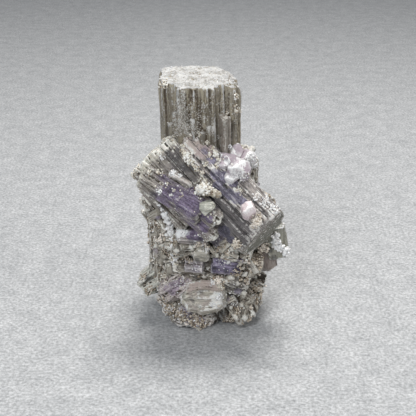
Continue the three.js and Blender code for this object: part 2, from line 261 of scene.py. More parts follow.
def bundle(name, outline, long, rib, seed, sunk=0.5, proud=0.5, uneven=(1.0, 1.0), broken=0.25,
           reach=(0.1, 0.6), low=level, high=level, end_rib=None, lean=0.6, plates=0, turned=0.2,
           fill=0.5, plain=False, late=0):
    """A crystal as a prism with ribs round it and ribs at its ends. sunk is how far the prism
    lies under the outline, proud how far ribs may stand out of it, uneven how ragged the ends
    are; low and high slope the ends, plates are wide ribs that step them, turned is how far the
    ribs are turned from lying flat with the sides, and fill how far the prism ends below them.
    Plain ends have no ribs, and late is the share of ribs that start part of the way up."""
    chance = np.random.RandomState(seed)
    places = []

    def ends(x, y):
        start = low(x, y) + chance.uniform(0, uneven[0])
        return start, long + high(x, y) - chance.uniform(0, uneven[1])

    for (ax, ay), (bx, by) in zip(outline, outline[1:] + outline[:1]):
        side = math.hypot(bx - ax, by - ay)
        count = max(1, round(side / rib))
        for n in range(count):
            share = (n + chance.uniform(0.1, 0.9)) / count
            radius = rib * chance.uniform(0.42, 0.95)
            deep = radius * 0.87 - proud * chance.uniform(-0.5, 1.0)
            x = ax + (bx - ax) * share - (by - ay) / side * deep
            y = ay + (by - ay) * share + (bx - ax) / side * deep
            start, stop = ends(x, y)
            if chance.uniform() < broken:
                stop -= long * chance.uniform(*reach)
            if late and chance.uniform() < late:
                start += long * chance.uniform(*reach)
            turn = math.atan2(by - ay, bx - ax) + chance.uniform(-turned, turned)
            places.append(rib_place(x, y, start, stop, radius, turn, chance, lean))
    corners = np.array(outline)
    inner = shrunk(outline, sunk + 0.3 * rib)
    pitch = end_rib or rib * 1.5
    for x in np.arange(corners[:, 0].min(), corners[:, 0].max(), pitch):
        for y in np.arange(corners[:, 1].min(), corners[:, 1].max(), pitch * 0.87):
            px = x + chance.uniform(-0.3, 0.3) * pitch
            py = y + chance.uniform(-0.3, 0.3) * pitch
            if not plain and inside(px, py, inner):
                start, stop = ends(px, py)
                radius = pitch * chance.uniform(0.62, 0.88)
                turn = chance.uniform(0, math.pi)
                places.append(rib_place(px, py, start, stop, radius, turn, chance, lean * 0.3))
    size = min(np.ptp(corners[:, 0]), np.ptp(corners[:, 1]))
    for n in range(plates):
        x, y = shrunk(outline, size * 0.24)[chance.randint(len(outline))]
        start, stop = ends(x, y)
        start -= chance.uniform(-0.6, 0.5) * uneven[0]
        stop += chance.uniform(-0.6, 0.5) * uneven[1]
        radius = size * chance.uniform(0.2, 0.3)
        places.append(rib_place(x, y, start, stop, radius, chance.uniform(0, 0.5), chance, lean))
    made = copies(name, rib_shape, places)
    core_outline = shrunk(outline, sunk)
    count = len(core_outline)
    points = [(x, y, low(x, y) + uneven[0] * fill) for x, y in core_outline]
    points += [(x, y, long + high(x, y) - uneven[1] * fill) for x, y in core_outline]
    faces = [list(range(count))[::-1], list(range(count, 2 * count))]
    faces += [(n, (n + 1) % count, count + (n + 1) % count, count + n) for n in range(count)]
    core_mesh = bpy.data.meshes.new("core")
    core_mesh.from_pydata(points, [], faces)
    core = bpy.data.objects.new("core", core_mesh)
    bpy.context.scene.collection.objects.link(core)
    return join(name, [made, core])


def join(name, things):
    """Joins objects into the first one."""
    only(things[0])
    for thing in things[1:]:
        thing.select_set(True)
    if len(things) > 1:
        bpy.ops.object.join()
    things[0].name = name
    return things[0]


def fuse(thing, grain):
    """Grows overlapping ribs or blocks into one skin, with points a grain apart."""
    only(thing)
    skin = thing.modifiers.new("skin", "REMESH")
    skin.mode = "VOXEL"
    skin.voxel_size = grain
    skin.use_smooth_shade = True
    bpy.ops.object.modifier_apply(modifier="skin")


def roughen(thing, steps, seed):
    """Moves a surface in and out by clouds. Each step is the size of the clouds, how many times
    longer they are along the crystal, and how far they move the surface."""
    for n, (size, stretch, strength) in enumerate(steps):
        texture = bpy.data.textures.new("clouds", "CLOUDS")
        texture.noise_scale = size
        texture.noise_depth = 2
        bpy.ops.object.empty_add(location=(seed * 7.3 + n * 3.1, seed * 3.7, seed * 5.9))
        guide = bpy.context.object
        guide.scale = (1, 1, stretch)
        only(thing)
        push = thing.modifiers.new("push", "DISPLACE")
        push.texture = texture
        push.texture_coords = "OBJECT"
        push.texture_coords_object = guide
        push.strength = strength
        bpy.context.view_layer.update()
        bpy.ops.object.modifier_apply(modifier="push")
        bpy.data.objects.remove(guide)
        bpy.data.textures.remove(texture)


def even_out(values, edges, count, passes):
    """Averages values over neighbouring points, so many times."""
    one = np.concatenate([edges[:, 0], edges[:, 1]])
    other = np.concatenate([edges[:, 1], edges[:, 0]])
    degree = np.maximum(np.bincount(one, minlength=count), 1)
    for _ in range(passes):
        values = np.stack([np.bincount(one, weights=values[other, k], minlength=count) / degree
                           for k in range(values.shape[1])], axis=1)
    return values


def normals_of(mesh):
    """The way each point of a mesh faces."""
    normals = np.empty(len(mesh.vertices) * 3)
    mesh.vertices.foreach_get("normal", normals)
    return normals.reshape(-1, 3)


def keep(mesh, name, values, kind="FLOAT"):
    """Stores a value for each point of a mesh."""
    layer = mesh.attributes.get(name) or mesh.attributes.new(name, kind, "POINT")
    field = "vector" if kind == "FLOAT_VECTOR" else "value"
    layer.data.foreach_set(field, np.ascontiguousarray(values, dtype=np.float32).ravel())


def mark_growth(thing, long, seed):
    """Stores what the finishes read: own, the place in the crystal's own frame in millimetres;
    along, from 0 at its start to 1 at its end; crest and hollow, how far the surface stands out
    of its surroundings, closely and broadly; tip, how far it faces the crystal's two ends."""
    mesh = thing.data
    count = len(mesh.vertices)
    points = arrays_of(mesh)[0]
    edges = np.empty(len(mesh.edges) * 2, dtype=int)
    mesh.edges.foreach_get("vertices", edges)
    edges = edges.reshape(-1, 2)
    normals = normals_of(mesh)
    near = even_out(points, edges, count, 5)
    wide = even_out(near, edges, count, 25)
    keep(mesh, "own", points + seed * 13.7, "FLOAT_VECTOR")
    keep(mesh, "along", points[:, 2] / long)
    keep(mesh, "crest", ((points - near) * normals).sum(1))
    keep(mesh, "hollow", ((points - wide) * normals).sum(1))
    keep(mesh, "tip", even_out(normals[:, 2:], edges, count, 8))


def crystal_frame(start, end, faces):
    """The frame of a crystal: Z from start to end, -Y towards what its broad face looks at."""
    along = (Vector(end) - Vector(start)).normalized()
    back = -Vector(faces)
    back = (back - along * back.dot(along)).normalized()
    turned = Matrix((back.cross(along), back, along)).transposed().to_4x4()
    return Matrix.Translation(start) @ turned


def lay(thing, start, end, faces=(0, -1, 0)):
    """Lays a crystal shaped on its own end in its place in the cluster, and in metres."""
    thing.matrix_world = Matrix.Scale(0.001, 4) @ crystal_frame(start, end, faces)
    only(thing)
    bpy.ops.object.transform_apply(location=True, rotation=True, scale=True)


def length_between(start, end):
    """How long a crystal is, from its start to its end."""
    return (Vector(end) - Vector(start)).length


def looker(things):
    """A function that gives the point and the normal at a place in the camera's view."""
    graph = bpy.context.evaluated_depsgraph_get()
    trees = [BVHTree.FromObject(thing, graph) for thing in things]
    turn = Matrix.Rotation(math.pi / 2 - CAMERA_DOWN, 3, "X")

    def look(across, down):
        way = turn @ Vector(((across - VIEW_PIXELS / 2) / CAMERA_FOCAL_PIXELS,
                             (VIEW_PIXELS / 2 - down) / CAMERA_FOCAL_PIXELS, -1))
        hits = [tree.ray_cast(Vector(CAMERA_PLACE), way) for tree in trees]
        hits = [hit for hit in hits if hit[0] is not None]
        if not hits:
            return None, None
        nearest = min(hits, key=lambda hit: hit[3])
        return nearest[0], nearest[1]

    return look


def stain(thing, name, spots, look=None):
    """Stores how strongly each point lies in a patch of another colour. Each spot is a place in
    the camera's view, across and down, its reach in millimetres all round it, and its strength
    where that isn't 1."""
    look = look or looker([thing])
    points = arrays_of(thing.data)[0]
    amount = np.zeros(len(points))
    for across, down, reach, *strength in spots:
        middle, _ = look(across, down)
        if middle is None:
            continue
        far = np.linalg.norm(points - np.array(middle), axis=1) * 1000 / reach
        share = np.clip((1.25 - far) / 0.75, 0, 1)
        full = strength[0] if strength else 1.0
        amount = np.maximum(amount, share * share * (3 - 2 * share) * full)
    keep(thing.data, name, amount)


def socket(group, name, way, value=None, kind="NodeSocketFloat"):
    """Gives a node group an input or an output."""
    made = group.interface.new_socket(name=name, socket_type=kind, in_out=way)
    if value is not None:
        made.default_value = value


def maths(tree, operation, place, one, two=None, three=None):
    """A Math node on inputs that are each a number or another node's output."""
    made = add(tree, "ShaderNodeMath", place, operation=operation)
    for n, value in enumerate((one, two, three)):
        if isinstance(value, (int, float)):
            made.inputs[n].default_value = value
        elif value is not None:
            tree.links.new(value, made.inputs[n])
    return made.outputs[0]


def spread(tree, place, value, low, high, to_low=0.0, to_high=1.0):
    """A smooth step of a value from low to high."""
    made = add(tree, "ShaderNodeMapRange", place, interpolation_type="SMOOTHSTEP")
    tree.links.new(value, made.inputs["Value"])
    for n, number in ((1, low), (2, high), (3, to_low), (4, to_high)):
        if isinstance(number, (int, float)):
            made.inputs[n].default_value = number
        else:
            tree.links.new(number, made.inputs[n])
    return made.outputs[0]


def blend(tree, place, amount, one, two, kind="MIX"):
    """A colour mixed from two, each a colour or another node's output."""
    made = add(tree, "ShaderNodeMix", place, data_type="RGBA", blend_type=kind)
    if isinstance(amount, (int, float)):
        made.inputs["Factor"].default_value = amount
    else:
        tree.links.new(amount, made.inputs["Factor"])
    for key, value in (("A", one), ("B", two)):
        if isinstance(value, tuple):
            made.inputs[key].default_value = (*value, 1)
        else:
            tree.links.new(value, made.inputs[key])
    return made.outputs["Result"]


# Striations: fine lines along a crystal, from noise drawn out along its own Z.
striations = bpy.data.node_groups.new("striations", "ShaderNodeTree")
socket(striations, "Width", "INPUT", 1.0)
socket(striations, "Streak", "OUTPUT")
socket(striations, "Height", "OUTPUT")
inputs = add(striations, "NodeGroupInput", (-1200, 0))
outputs = add(striations, "NodeGroupOutput", (400, 0))
own = add(striations, "ShaderNodeAttribute", (-1200, 300), attribute_name="own")
drawn = add(striations, "ShaderNodeMapping", (-1000, 300))
drawn.inputs["Scale"].default_value = (1, 1, 0.09)
wide_lines = add(striations, "ShaderNodeTexNoise", (-700, 300), Detail=2, Roughness=0.5)
fine_lines = add(striations, "ShaderNodeTexNoise", (-700, 0), Detail=3, Roughness=0.6)
wire(striations, (own.outputs["Vector"], drawn.inputs["Vector"]),
     (drawn.outputs["Vector"], wide_lines.inputs["Vector"]),
     (drawn.outputs["Vector"], fine_lines.inputs["Vector"]),
     (maths(striations, "DIVIDE", (-900, 0), 1.1, inputs.outputs["Width"]),
      wide_lines.inputs["Scale"]),
     (maths(striations, "DIVIDE", (-900, -200), 3.2, inputs.outputs["Width"]),
      fine_lines.inputs["Scale"]))
lines = maths(striations, "ADD", (-400, 200), wide_lines.outputs["Fac"], fine_lines.outputs["Fac"])
wire(striations, (spread(striations, (-200, 200), lines, 0.86, 1.14), outputs.inputs["Streak"]),
     (lines, outputs.inputs["Height"]))

# Weathering: frost on what stands out, and dirt mixed with painted shade in what lies under
# and deep between crystals, both broken up by noise. Frosted is how much frost there is, the
# next output how much dirt and painted shade, Grain is the noise, Patch the slow mottling.
weathering = bpy.data.node_groups.new("weathering", "ShaderNodeTree")
socket(weathering, "Frost", "INPUT", 0.5)
socket(weathering, "Dirt", "INPUT", 0.5)
socket(weathering, "Ends", "INPUT", 0.5)
for name in ("Frosted", "Dirty", "Grain", "Patch"):
    socket(weathering, name, "OUTPUT")
inputs = add(weathering, "NodeGroupInput", (-1400, 0))
outputs = add(weathering, "NodeGroupOutput", (600, 0))
own = add(weathering, "ShaderNodeAttribute", (-1700, 500), attribute_name="own")
crest = add(weathering, "ShaderNodeAttribute", (-1700, 300), attribute_name="crest")
hollow = add(weathering, "ShaderNodeAttribute", (-1700, 100), attribute_name="hollow")
tip = add(weathering, "ShaderNodeAttribute", (-1700, -200), attribute_name="tip")
pale = add(weathering, "ShaderNodeAttribute", (-1700, -400), attribute_name="pale")
gap_shade = add(weathering, "ShaderNodeAttribute", (-1700, -600), attribute_name="gap_shade")
patches = add(weathering, "ShaderNodeTexNoise", (-1400, 500), Scale=0.3, Detail=3, Roughness=0.6)
crumbs = add(weathering, "ShaderNodeTexNoise", (-1400, 250), Scale=2.2, Detail=5, Roughness=0.75)
wire(weathering, (own.outputs["Vector"], patches.inputs["Vector"]),
     (own.outputs["Vector"], crumbs.inputs["Vector"]))
facing_ends = spread(weathering, (-1300, -200),
                     maths(weathering, "ABSOLUTE", (-1500, -200), tip.outputs["Fac"]), 0.35, 0.8)
total = inputs.outputs["Frost"]
for step, (source, weight) in enumerate((
        (crest, 6.0), (hollow, 1.0), (crumbs, 1.6), (patches, 1.2), (pale, 0.75), (gap_shade, -0.5))):
    total = maths(weathering, "MULTIPLY_ADD", (-1100 + 150 * step, 0), source.outputs["Fac"],
                  weight, total)
total = maths(weathering, "MULTIPLY_ADD", (-150, 0), facing_ends, inputs.outputs["Ends"], total)
# Dirt and painted shade: more in hollows, off the crests and deep between crystals, less on faces
# towards the crystal's ends.
under = inputs.outputs["Dirt"]
for step, (source, weight) in enumerate(((crest, -9.0), (hollow, -2.2), (crumbs, 0.6), (gap_shade, 1.6))):
    under = maths(weathering, "MULTIPLY_ADD", (-1100 + 150 * step, -400), source.outputs["Fac"],
                  weight, under)
under = maths(weathering, "MULTIPLY_ADD", (-450, -400), facing_ends, -0.9, under)
wire(weathering, (spread(weathering, (200, 100), total, 2.15, 2.65), outputs.inputs["Frosted"]),
     (spread(weathering, (200, -200), under, 1.1, 2.0), outputs.inputs["Dirty"]),
     (crumbs.outputs["Fac"], outputs.inputs["Grain"]),
     (patches.outputs["Fac"], outputs.inputs["Patch"]))

# Clear zones: where the crystal is clear and coloured inside, in a stretch of its length and in
# stained patches, with soft cloudy edges.
clear_zones = bpy.data.node_groups.new("clear zones", "ShaderNodeTree")
socket(clear_zones, "From", "INPUT", 0.2)
socket(clear_zones, "To", "INPUT", 0.8)
socket(clear_zones, "Amount", "INPUT", 0.5)
socket(clear_zones, "Zone", "OUTPUT")
inputs = add(clear_zones, "NodeGroupInput", (-1200, 0))
outputs = add(clear_zones, "NodeGroupOutput", (600, 0))
own = add(clear_zones, "ShaderNodeAttribute", (-1200, 300), attribute_name="own")
along = add(clear_zones, "ShaderNodeAttribute", (-1200, -300), attribute_name="along")
violet = add(clear_zones, "ShaderNodeAttribute", (-1200, -500), attribute_name="violet")
drawn = add(clear_zones, "ShaderNodeMapping", (-1000, 300))
drawn.inputs["Scale"].default_value = (1, 1, 0.4)
cloud = add(clear_zones, "ShaderNodeTexNoise", (-800, 300), Scale=0.5, Detail=4, Roughness=0.6)
wire(clear_zones, (own.outputs["Vector"], drawn.inputs["Vector"]),
     (drawn.outputs["Vector"], cloud.inputs["Vector"]))
spot = maths(clear_zones, "MULTIPLY_ADD", (-600, -200), cloud.outputs["Fac"], 0.4,
             along.outputs["Fac"])
after_start = spread(clear_zones, (-300, 0), maths(
    clear_zones, "SUBTRACT", (-400, 0), spot, inputs.outputs["From"]), 0.14, 0.3)
before_end = spread(clear_zones, (-300, -200), maths(
    clear_zones, "SUBTRACT", (-400, -200), inputs.outputs["To"], spot), -0.26, -0.1)
band = maths(clear_zones, "MULTIPLY", (-100, -100), after_start, before_end)
clouded = spread(clear_zones, (-100, 300), maths(
    clear_zones, "ADD", (-300, 300), cloud.outputs["Fac"], inputs.outputs["Amount"]), 0.75, 1.1)
stained = spread(clear_zones, (-100, -500), maths(
    clear_zones, "ADD", (-300, -500), cloud.outputs["Fac"], violet.outputs["Fac"]), 0.85, 1.25)
wire(clear_zones, (maths(clear_zones, "MAXIMUM", (350, 0), maths(
    clear_zones, "MULTIPLY", (150, 0), band, clouded), stained), outputs.inputs["Zone"]))


def aragonite(name, dark, light, cloudy=None, dirt_and_shade_colour=(0.06, 0.045, 0.03), frost=(0.62, 0.59, 0.52),
              violet=(0.17, 0.115, 0.25), frost_amount=0.45, dirt_and_shade_amount=0.5, ends_amount=0.5,
              zone=(0, 0, 0), line_width=1.0, rough=0.27, glow=0.12, bump=0.75, end_colours=None,
             blush=None):
    """The finish of one crystal or group: streaks from dark to light along it, a slow change to
    a cloudy colour, clear zones, grime and painted shade in its grooves, painted shade in dark
    spots and deep between crystals, frost on its crests and its ends."""
    material = bpy.data.materials.new(name)
    material.use_nodes = True
    tree = material.node_tree
    surface = tree.nodes["Principled BSDF"]
    lines = add(tree, "ShaderNodeGroup", (-1400, 200), node_tree=striations, Width=line_width)
    weather = add(tree, "ShaderNodeGroup", (-1400, -200), node_tree=weathering,
                  Frost=frost_amount, Dirt=dirt_and_shade_amount, Ends=ends_amount)
    colour = blend(tree, (-1100, 200), lines.outputs["Streak"], dark, light)
    if cloudy:
        turned = spread(tree, (-1100, 0), weather.outputs["Patch"], 0.42, 0.62, 0.0, 0.65)
        colour = blend(tree, (-1000, 100), turned, colour, cloudy)
    if blush:
        rosy = add(tree, "ShaderNodeAttribute", (-1100, -150), attribute_name="blush")
        rosy = maths(tree, "MULTIPLY", (-1000, -100), rosy.outputs["Fac"], 0.75)
        colour = blend(tree, (-950, 50), rosy, colour, blush)
    zones = add(tree, "ShaderNodeGroup", (-1400, 500), node_tree=clear_zones)
    zones.inputs["From"].default_value = zone[0]
    zones.inputs["To"].default_value = zone[1]
    zones.inputs["Amount"].default_value = zone[2]
    cloud = maths(tree, "ADD", (-1250, 600), weather.outputs["Grain"], weather.outputs["Patch"])
    cloud = maths(tree, "MULTIPLY_ADD", (-1200, 650), lines.outputs["Streak"], 0.15, cloud)
    deep = blend(tree, (-1100, 500), spread(tree, (-1150, 600), cloud, 0.85, 1.3),
                 tuple(0.5 * part for part in violet), tuple(0.12 + 1.4 * part for part in violet))
    colour = blend(tree, (-900, 300), zones.outputs["Zone"], colour, deep)
    if end_colours:
        along = add(tree, "ShaderNodeAttribute", (-1400, 800), attribute_name="along")
        reach, start_colour, end_colour = end_colours
        wobble = maths(tree, "MULTIPLY", (-1250, 700), lines.outputs["Streak"], reach * 0.6)
        start = spread(tree, (-1100, 800), maths(tree, "ADD", (-1200, 850),
                       along.outputs["Fac"], wobble), reach * 0.3, reach * 1.3, 1.0, 0.0)
        end = spread(tree, (-1100, 1000), maths(tree, "SUBTRACT", (-1200, 1000),
                     along.outputs["Fac"], wobble), 1 - reach * 1.3, 1 - reach * 0.3)
        colour = blend(tree, (-700, 500), start, colour, start_colour)
        colour = blend(tree, (-600, 600), end, colour, end_colour)
    # Dark spots: painted shade, the colour multiplied towards blue grey where less light falls,
    # with a few real dark patches among them; frost is thinned there too.
    dark_and_shade_spots = add(tree, "ShaderNodeAttribute", (-1100, -400), attribute_name="dark")
    shaded = maths(tree, "MULTIPLY", (-900, -400), dark_and_shade_spots.outputs["Fac"], 0.8)
    colour = blend(tree, (-700, 200), shaded, colour, (0.29, 0.295, 0.325), "MULTIPLY")
    # Dirt and painted shade in grooves and hollows, thinner in the clear zones.
    clean = maths(tree, "MULTIPLY_ADD", (-900, -600), zones.outputs["Zone"], -0.65, 1.0)
    dirt_and_shade = maths(tree, "MULTIPLY", (-700, -600), weather.outputs["Dirty"], clean)
    frost_out_of_shade = maths(tree, "MULTIPLY_ADD", (-900, -800), dark_and_shade_spots.outputs["Fac"], -0.4, 1.0)
    frosted = maths(tree, "MULTIPLY", (-750, -700), weather.outputs["Frosted"], clean)
    frosted = maths(tree, "MULTIPLY", (-650, -800), frosted, frost_out_of_shade)
    colour = blend(tree, (-500, 200), dirt_and_shade, colour, dirt_and_shade_colour)
    pale = add(tree, "ShaderNodeAttribute", (-800, 900), attribute_name="pale")
    crumbly = maths(tree, "MULTIPLY_ADD", (-600, 900), pale.outputs["Fac"], 0.16, cloud)
    crumbly = spread(tree, (-500, 400), crumbly, 0.88, 1.2)
    frost_colour = blend(tree, (-400, 400), crumbly, tuple(0.55 * part for part in frost),
                         tuple(min(1, 1.06 * part) for part in frost))
    colour = blend(tree, (-300, 200), frosted, colour, frost_colour)
    # Painted shade deep between crystals: the colour is multiplied darker brown there.
    gap_shade = add(tree, "ShaderNodeAttribute", (-400, 600), attribute_name="gap_shade")
    gap_darkening = maths(tree, "MULTIPLY", (-300, 600), gap_shade.outputs["Fac"], 0.85)
    colour = blend(tree, (-200, 300), gap_darkening, colour, (0.25, 0.22, 0.2), "MULTIPLY")
    clear = maths(tree, "MULTIPLY_ADD", (-500, -100), zones.outputs["Zone"], -0.6 * rough, rough)
    roughness = maths(tree, "MULTIPLY_ADD", (-300, -100), frosted, 0.12, clear)
    height = maths(tree, "MULTIPLY_ADD", (-500, -300), weather.outputs["Grain"], 1.0,
                   lines.outputs["Height"])
    relief = add(tree, "ShaderNodeBump", (-300, -300), Strength=bump, Distance=0.0005)
    wire(tree, (colour, surface.inputs["Base Color"]), (roughness, surface.inputs["Roughness"]),
         (height, relief.inputs["Height"]), (relief.outputs["Normal"], surface.inputs["Normal"]))
    surface.inputs["IOR"].default_value = 1.66
    surface.inputs["Subsurface Weight"].default_value = glow
    surface.inputs["Subsurface Radius"].default_value = (1.0, 0.8, 0.7)
    surface.inputs["Subsurface Scale"].default_value = 0.0005
    return material


crystals = []
upright_long = length_between(UPRIGHT_FOOT, UPRIGHT_HEAD)
upright = bundle("upright_column", UPRIGHT_OUTLINE, upright_long, 0.85, 8, sunk=0.4, proud=0.3,
                 uneven=(0, 0.35), broken=0.3, reach=(0.04, 0.5), end_rib=2.2, lean=0.8, turned=0.8,
                 high=lambda x, y: min(0, (8.6 - x + 0.1 * y) * 0.8, (y + 10.5) * 0.35), fill=0)
stubs = []
for x, y, top, radius, deep in UPRIGHT_STUBS:
    bpy.ops.mesh.primitive_cylinder_add(vertices=7, radius=radius, depth=deep,
                                        location=(x, y, top - UPRIGHT_FOOT[2] - deep / 2))
    bpy.ops.object.transform_apply(location=True)
    bpy.ops.object.modifier_add(type="BEVEL")
    bpy.context.object.modifiers[0].width = radius * 0.6
    bpy.context.object.modifiers[0].segments = 2
    bpy.ops.object.modifier_apply(modifier="Bevel")
    stubs.append(bpy.context.object)
upright = join("upright_column", [upright] + stubs)
fuse(upright, 0.265)
roughen(upright, [(5, 5, 0.8), (1.0, 10, 0.4), (0.6, 1.2, 0.26)], 1)
mark_growth(upright, upright_long, 1)
lay(upright, UPRIGHT_FOOT, UPRIGHT_HEAD)
seen = looker([upright])
stain(upright, "pale", UPRIGHT_PALE, seen)
# The dark spots are mostly painted shade, low on the column above the slanting crystals, with some
# real dark brown patches on its top.
stain(upright, "dark", UPRIGHT_DARK_AND_SHADE, seen)
upright.data.materials.append(aragonite(
    "upright aragonite", dark=(0.21, 0.172, 0.116), light=(0.55, 0.49, 0.37), line_width=0.7,
    cloudy=(0.31, 0.28, 0.23), ends_amount=1.25, frost=(0.71, 0.7, 0.68), frost_amount=0.08,
    dirt_and_shade_colour=(0.095, 0.068, 0.042), dirt_and_shade_amount=0.42))
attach(upright, "root")
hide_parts("grown_columns")
crystals.append(upright)


# ---- Upright satellite -------------------------------------------------------------------
# A short thick column that grew up against the front of the upright one, grey brown, ribbed,
# with a rounded pale top.
SATELLITE_FOOT = (4.2, -11.5, 55)
SATELLITE_HEAD = (4.2, -11.8, 71.3)


def hex_outline(wide, deep):
    """The six-sided section of a column."""
    corners = [(1, 0), (0.52, 1), (-0.52, 1), (-1, 0), (-0.52, -1), (0.52, -1)]
    return [(x * wide / 2, y * deep / 2) for x, y in corners]


def round_end(wide, drop):
    """The slope of an end that is rounded over."""
    return lambda x, y: -drop * min(1, (x * x + y * y) / (wide * wide / 4)) ** 1.5


satellite_long = length_between(SATELLITE_FOOT, SATELLITE_HEAD)
satellite = bundle("upright_satellite", hex_outline(3.6, 4), satellite_long, 1.1, 61, sunk=0.4,
                   proud=0.2, uneven=(0, 0.5), broken=0.2, reach=(0.1, 0.4), lean=0.8,
                   high=round_end(3.6, 1.0))
fuse(satellite, 0.2)
roughen(satellite, [(2, 4, 0.5), (0.8, 6, 0.4), (0.5, 1.2, 0.2)], 61)
mark_growth(satellite, satellite_long, 61)
lay(satellite, SATELLITE_FOOT, SATELLITE_HEAD)
stain(satellite, "pale", [(225, 119, 1.2, 0.6)])
satellite.data.materials.append(aragonite(
    "satellite aragonite", dark=(0.2, 0.165, 0.135), light=(0.4, 0.36, 0.31), ends_amount=0.5,
    frost=(0.56, 0.53, 0.48), frost_amount=0.2, dirt_and_shade_amount=0.5))
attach(satellite, "root")
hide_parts("upright_satellite")
crystals.append(satellite)


# ---- Slanting column ---------------------------------------------------------------------
# The broad column that slants down to the right across the front: a sheaf of blades grown
# together, pinkish violet above, striated grey below and darkened there by painted shade, broken
# off square at its lower end.
SLANTING_OUTLINE = [(8.6, -3), (8.2, 3.5), (2, 6), (-6.4, 5.6), (-9, 1.4), (-8.8, -3.4), (-1.4, -7)]
SLANTING_START = (-7.5, -11, 57.5)
SLANTING_END = (16.2, -19, 35.6)
SLANTING_VIOLET = [(216, 174, 2.2), (224, 177, 2.4), (232, 182, 2.2), (218, 186, 2), (221, 191, 2),
                   (229, 194, 2.2), (237, 198, 2.2), (243, 202, 1.6), (204, 151, 1.8, 0.6),
                   (211, 160, 2, 0.8), (231, 241, 2, 0.9), (224, 232, 2.4)]
SLANTING_PALE = [(184, 150, 1.6), (190, 160, 2), (188, 170, 1.6), (201, 178, 1.5), (196, 138, 1.5),
                 (234, 203, 1.6), (246, 212, 1.8), (258, 222, 1.5), (276, 210, 2.4),
                 (251, 245, 1.2), (268, 203, 1.4, 0.8), (262, 208, 1, 0.8), (272, 216, 1.6, 0.8),
                 (258, 195, 1.2, 0.8), (266, 196, 1.2, 0.7), (249, 236, 1), (214, 169, 1.2),
                 (222, 170, 1, 0.8), (236, 190, 1.2), (227, 184, 0.8, 1.2), (246, 192, 1.2, 0.8),
                 (256, 198, 1, 0.8), (190, 150, 1)]
SLANTING_SHADE = [(222, 191, 1.6, 0.6), (231, 195, 1.8, 0.5), (239, 199, 1.6, 0.5), (224, 208, 2),
                 (230, 217, 3.4), (238, 229, 3.4), (244, 241, 2.8), (224, 224, 2.4),
                 (232, 237, 2.4), (254, 203, 1), (262, 212, 0.9), (222, 210, 2.4), (236, 222, 3),
                 (246, 234, 2), (228, 228, 3), (213, 193, 1.4), (206, 176, 1.2), (218, 204, 2),
                 (216, 216, 2), (241, 222, 2.4), (250, 228, 2), (234, 209, 2, 0.7)]
SLANTING_BLUSH = [(192, 142, 3), (200, 142, 3), (206, 148, 3), (200, 152, 2.4), (190, 148, 2.4),
                  (186, 144, 2), (210, 155, 2, 0.6)]
slanting_long = length_between(SLANTING_START, SLANTING_END)
slanting = bundle("slanting_column", SLANTING_OUTLINE, slanting_long, 0.85, 11, sunk=0.35,
                  proud=0.4, uneven=(1.2, 0.4), broken=0.15, reach=(0.05, 0.5),
                  low=lambda x, y: 0.42 * abs(x + 5) - 5, high=lambda x, y: 0.4 * y, end_rib=2.0,
                  turned=0.6, late=0.2)
fuse(slanting, 0.23)
roughen(slanting, [(4, 4, 0.9), (0.9, 12, 0.4), (0.55, 1.5, 0.25)], 2)
mark_growth(slanting, slanting_long, 2)
lay(slanting, SLANTING_START, SLANTING_END, (-0.15, -1, 0.45))
seen = looker([slanting])
stain(slanting, "violet", SLANTING_VIOLET, seen)
stain(slanting, "pale", SLANTING_PALE, seen)
# The dark spots are painted shade on the lower flank and in the hollows under the blades.
stain(slanting, "dark", SLANTING_SHADE, seen)
stain(slanting, "blush", SLANTING_BLUSH, seen)
slanting.data.materials.append(aragonite(
    "slanting aragonite", dark=(0.15, 0.13, 0.12), light=(0.56, 0.505, 0.47), line_width=0.6,
    cloudy=(0.37, 0.34, 0.325), violet=(0.17, 0.15, 0.225), frost=(0.9, 0.87, 0.83),
    frost_amount=0.32, blush=(0.58, 0.45, 0.44), ends_amount=0.1, dirt_and_shade_colour=(0.06, 0.055, 0.055),
    dirt_and_shade_amount=0.6, end_colours=(0.06, (0.62, 0.53, 0.48), (0.235, 0.23, 0.19))))
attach(slanting, "root")
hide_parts("grown_columns")
crystals.append(slanting)


# ---- Slanting blades ---------------------------------------------------------------------
# Thinner columns side by side under the left end of the slanting column, fanned a little, with
# jagged cream tips at the upper left. The lowest and longest is violet almost to its end.
BLADES = [
    dict(start=(-19.8, -15, 54), end=(-1.2, -22.2, 43.4), across=(9.2, 7.6), faces=(-0.1, -1, 0.5),
         low=lambda x, y: 0.4 * x - 1.4, drop=1.5, seed=21, zone=(0.26, 1.5, 0.5)),
    dict(start=(-8.4, -19.4, 50.3), end=(3.1, -23.8, 41.3), across=(5.4, 5), faces=(-0.1, -1, 0.5),
         low=level, drop=2.4, seed=26, zone=(-0.3, 0.78, 0.5)),
    dict(start=(-9.1, -17.4, 44.4), end=(2, -21.6, 34.9), across=(5, 5), faces=(-0.1, -1, 0.5),
         low=level, drop=2.4, seed=27, zone=(-0.3, 0.8, 0.4)),
    dict(start=(-22.2, -15.6, 54.7), end=(-9, -20, 46.6), across=(4.6, 4), faces=(-0.1, -1, 0.5),
         low=lambda x, y: -1, drop=1, seed=25, zone=(0.5, 1.5, 0.1)),
    dict(start=(-19.4, -12, 49.6), end=(-6, -16, 36.5), across=(7, 7), faces=(-0.2, -1, 0.2),
         low=lambda x, y: -1, drop=1, seed=22, zone=(0, 0, 0)),
    dict(start=(-16.2, -14, 58.8), end=(-3, -19, 46), across=(7.5, 7), faces=(0, -1, 0.5),
         low=lambda x, y: -2.2, drop=1, seed=23, zone=(0.6, 1.5, 0.1)),
    dict(start=(-12.2, -13.5, 62), end=(-3, -17, 51.5), across=(7, 6), faces=(0, -1, 0.4),
         low=lambda x, y: -2.6, drop=1, seed=24, zone=(0, 0, 0)),
]
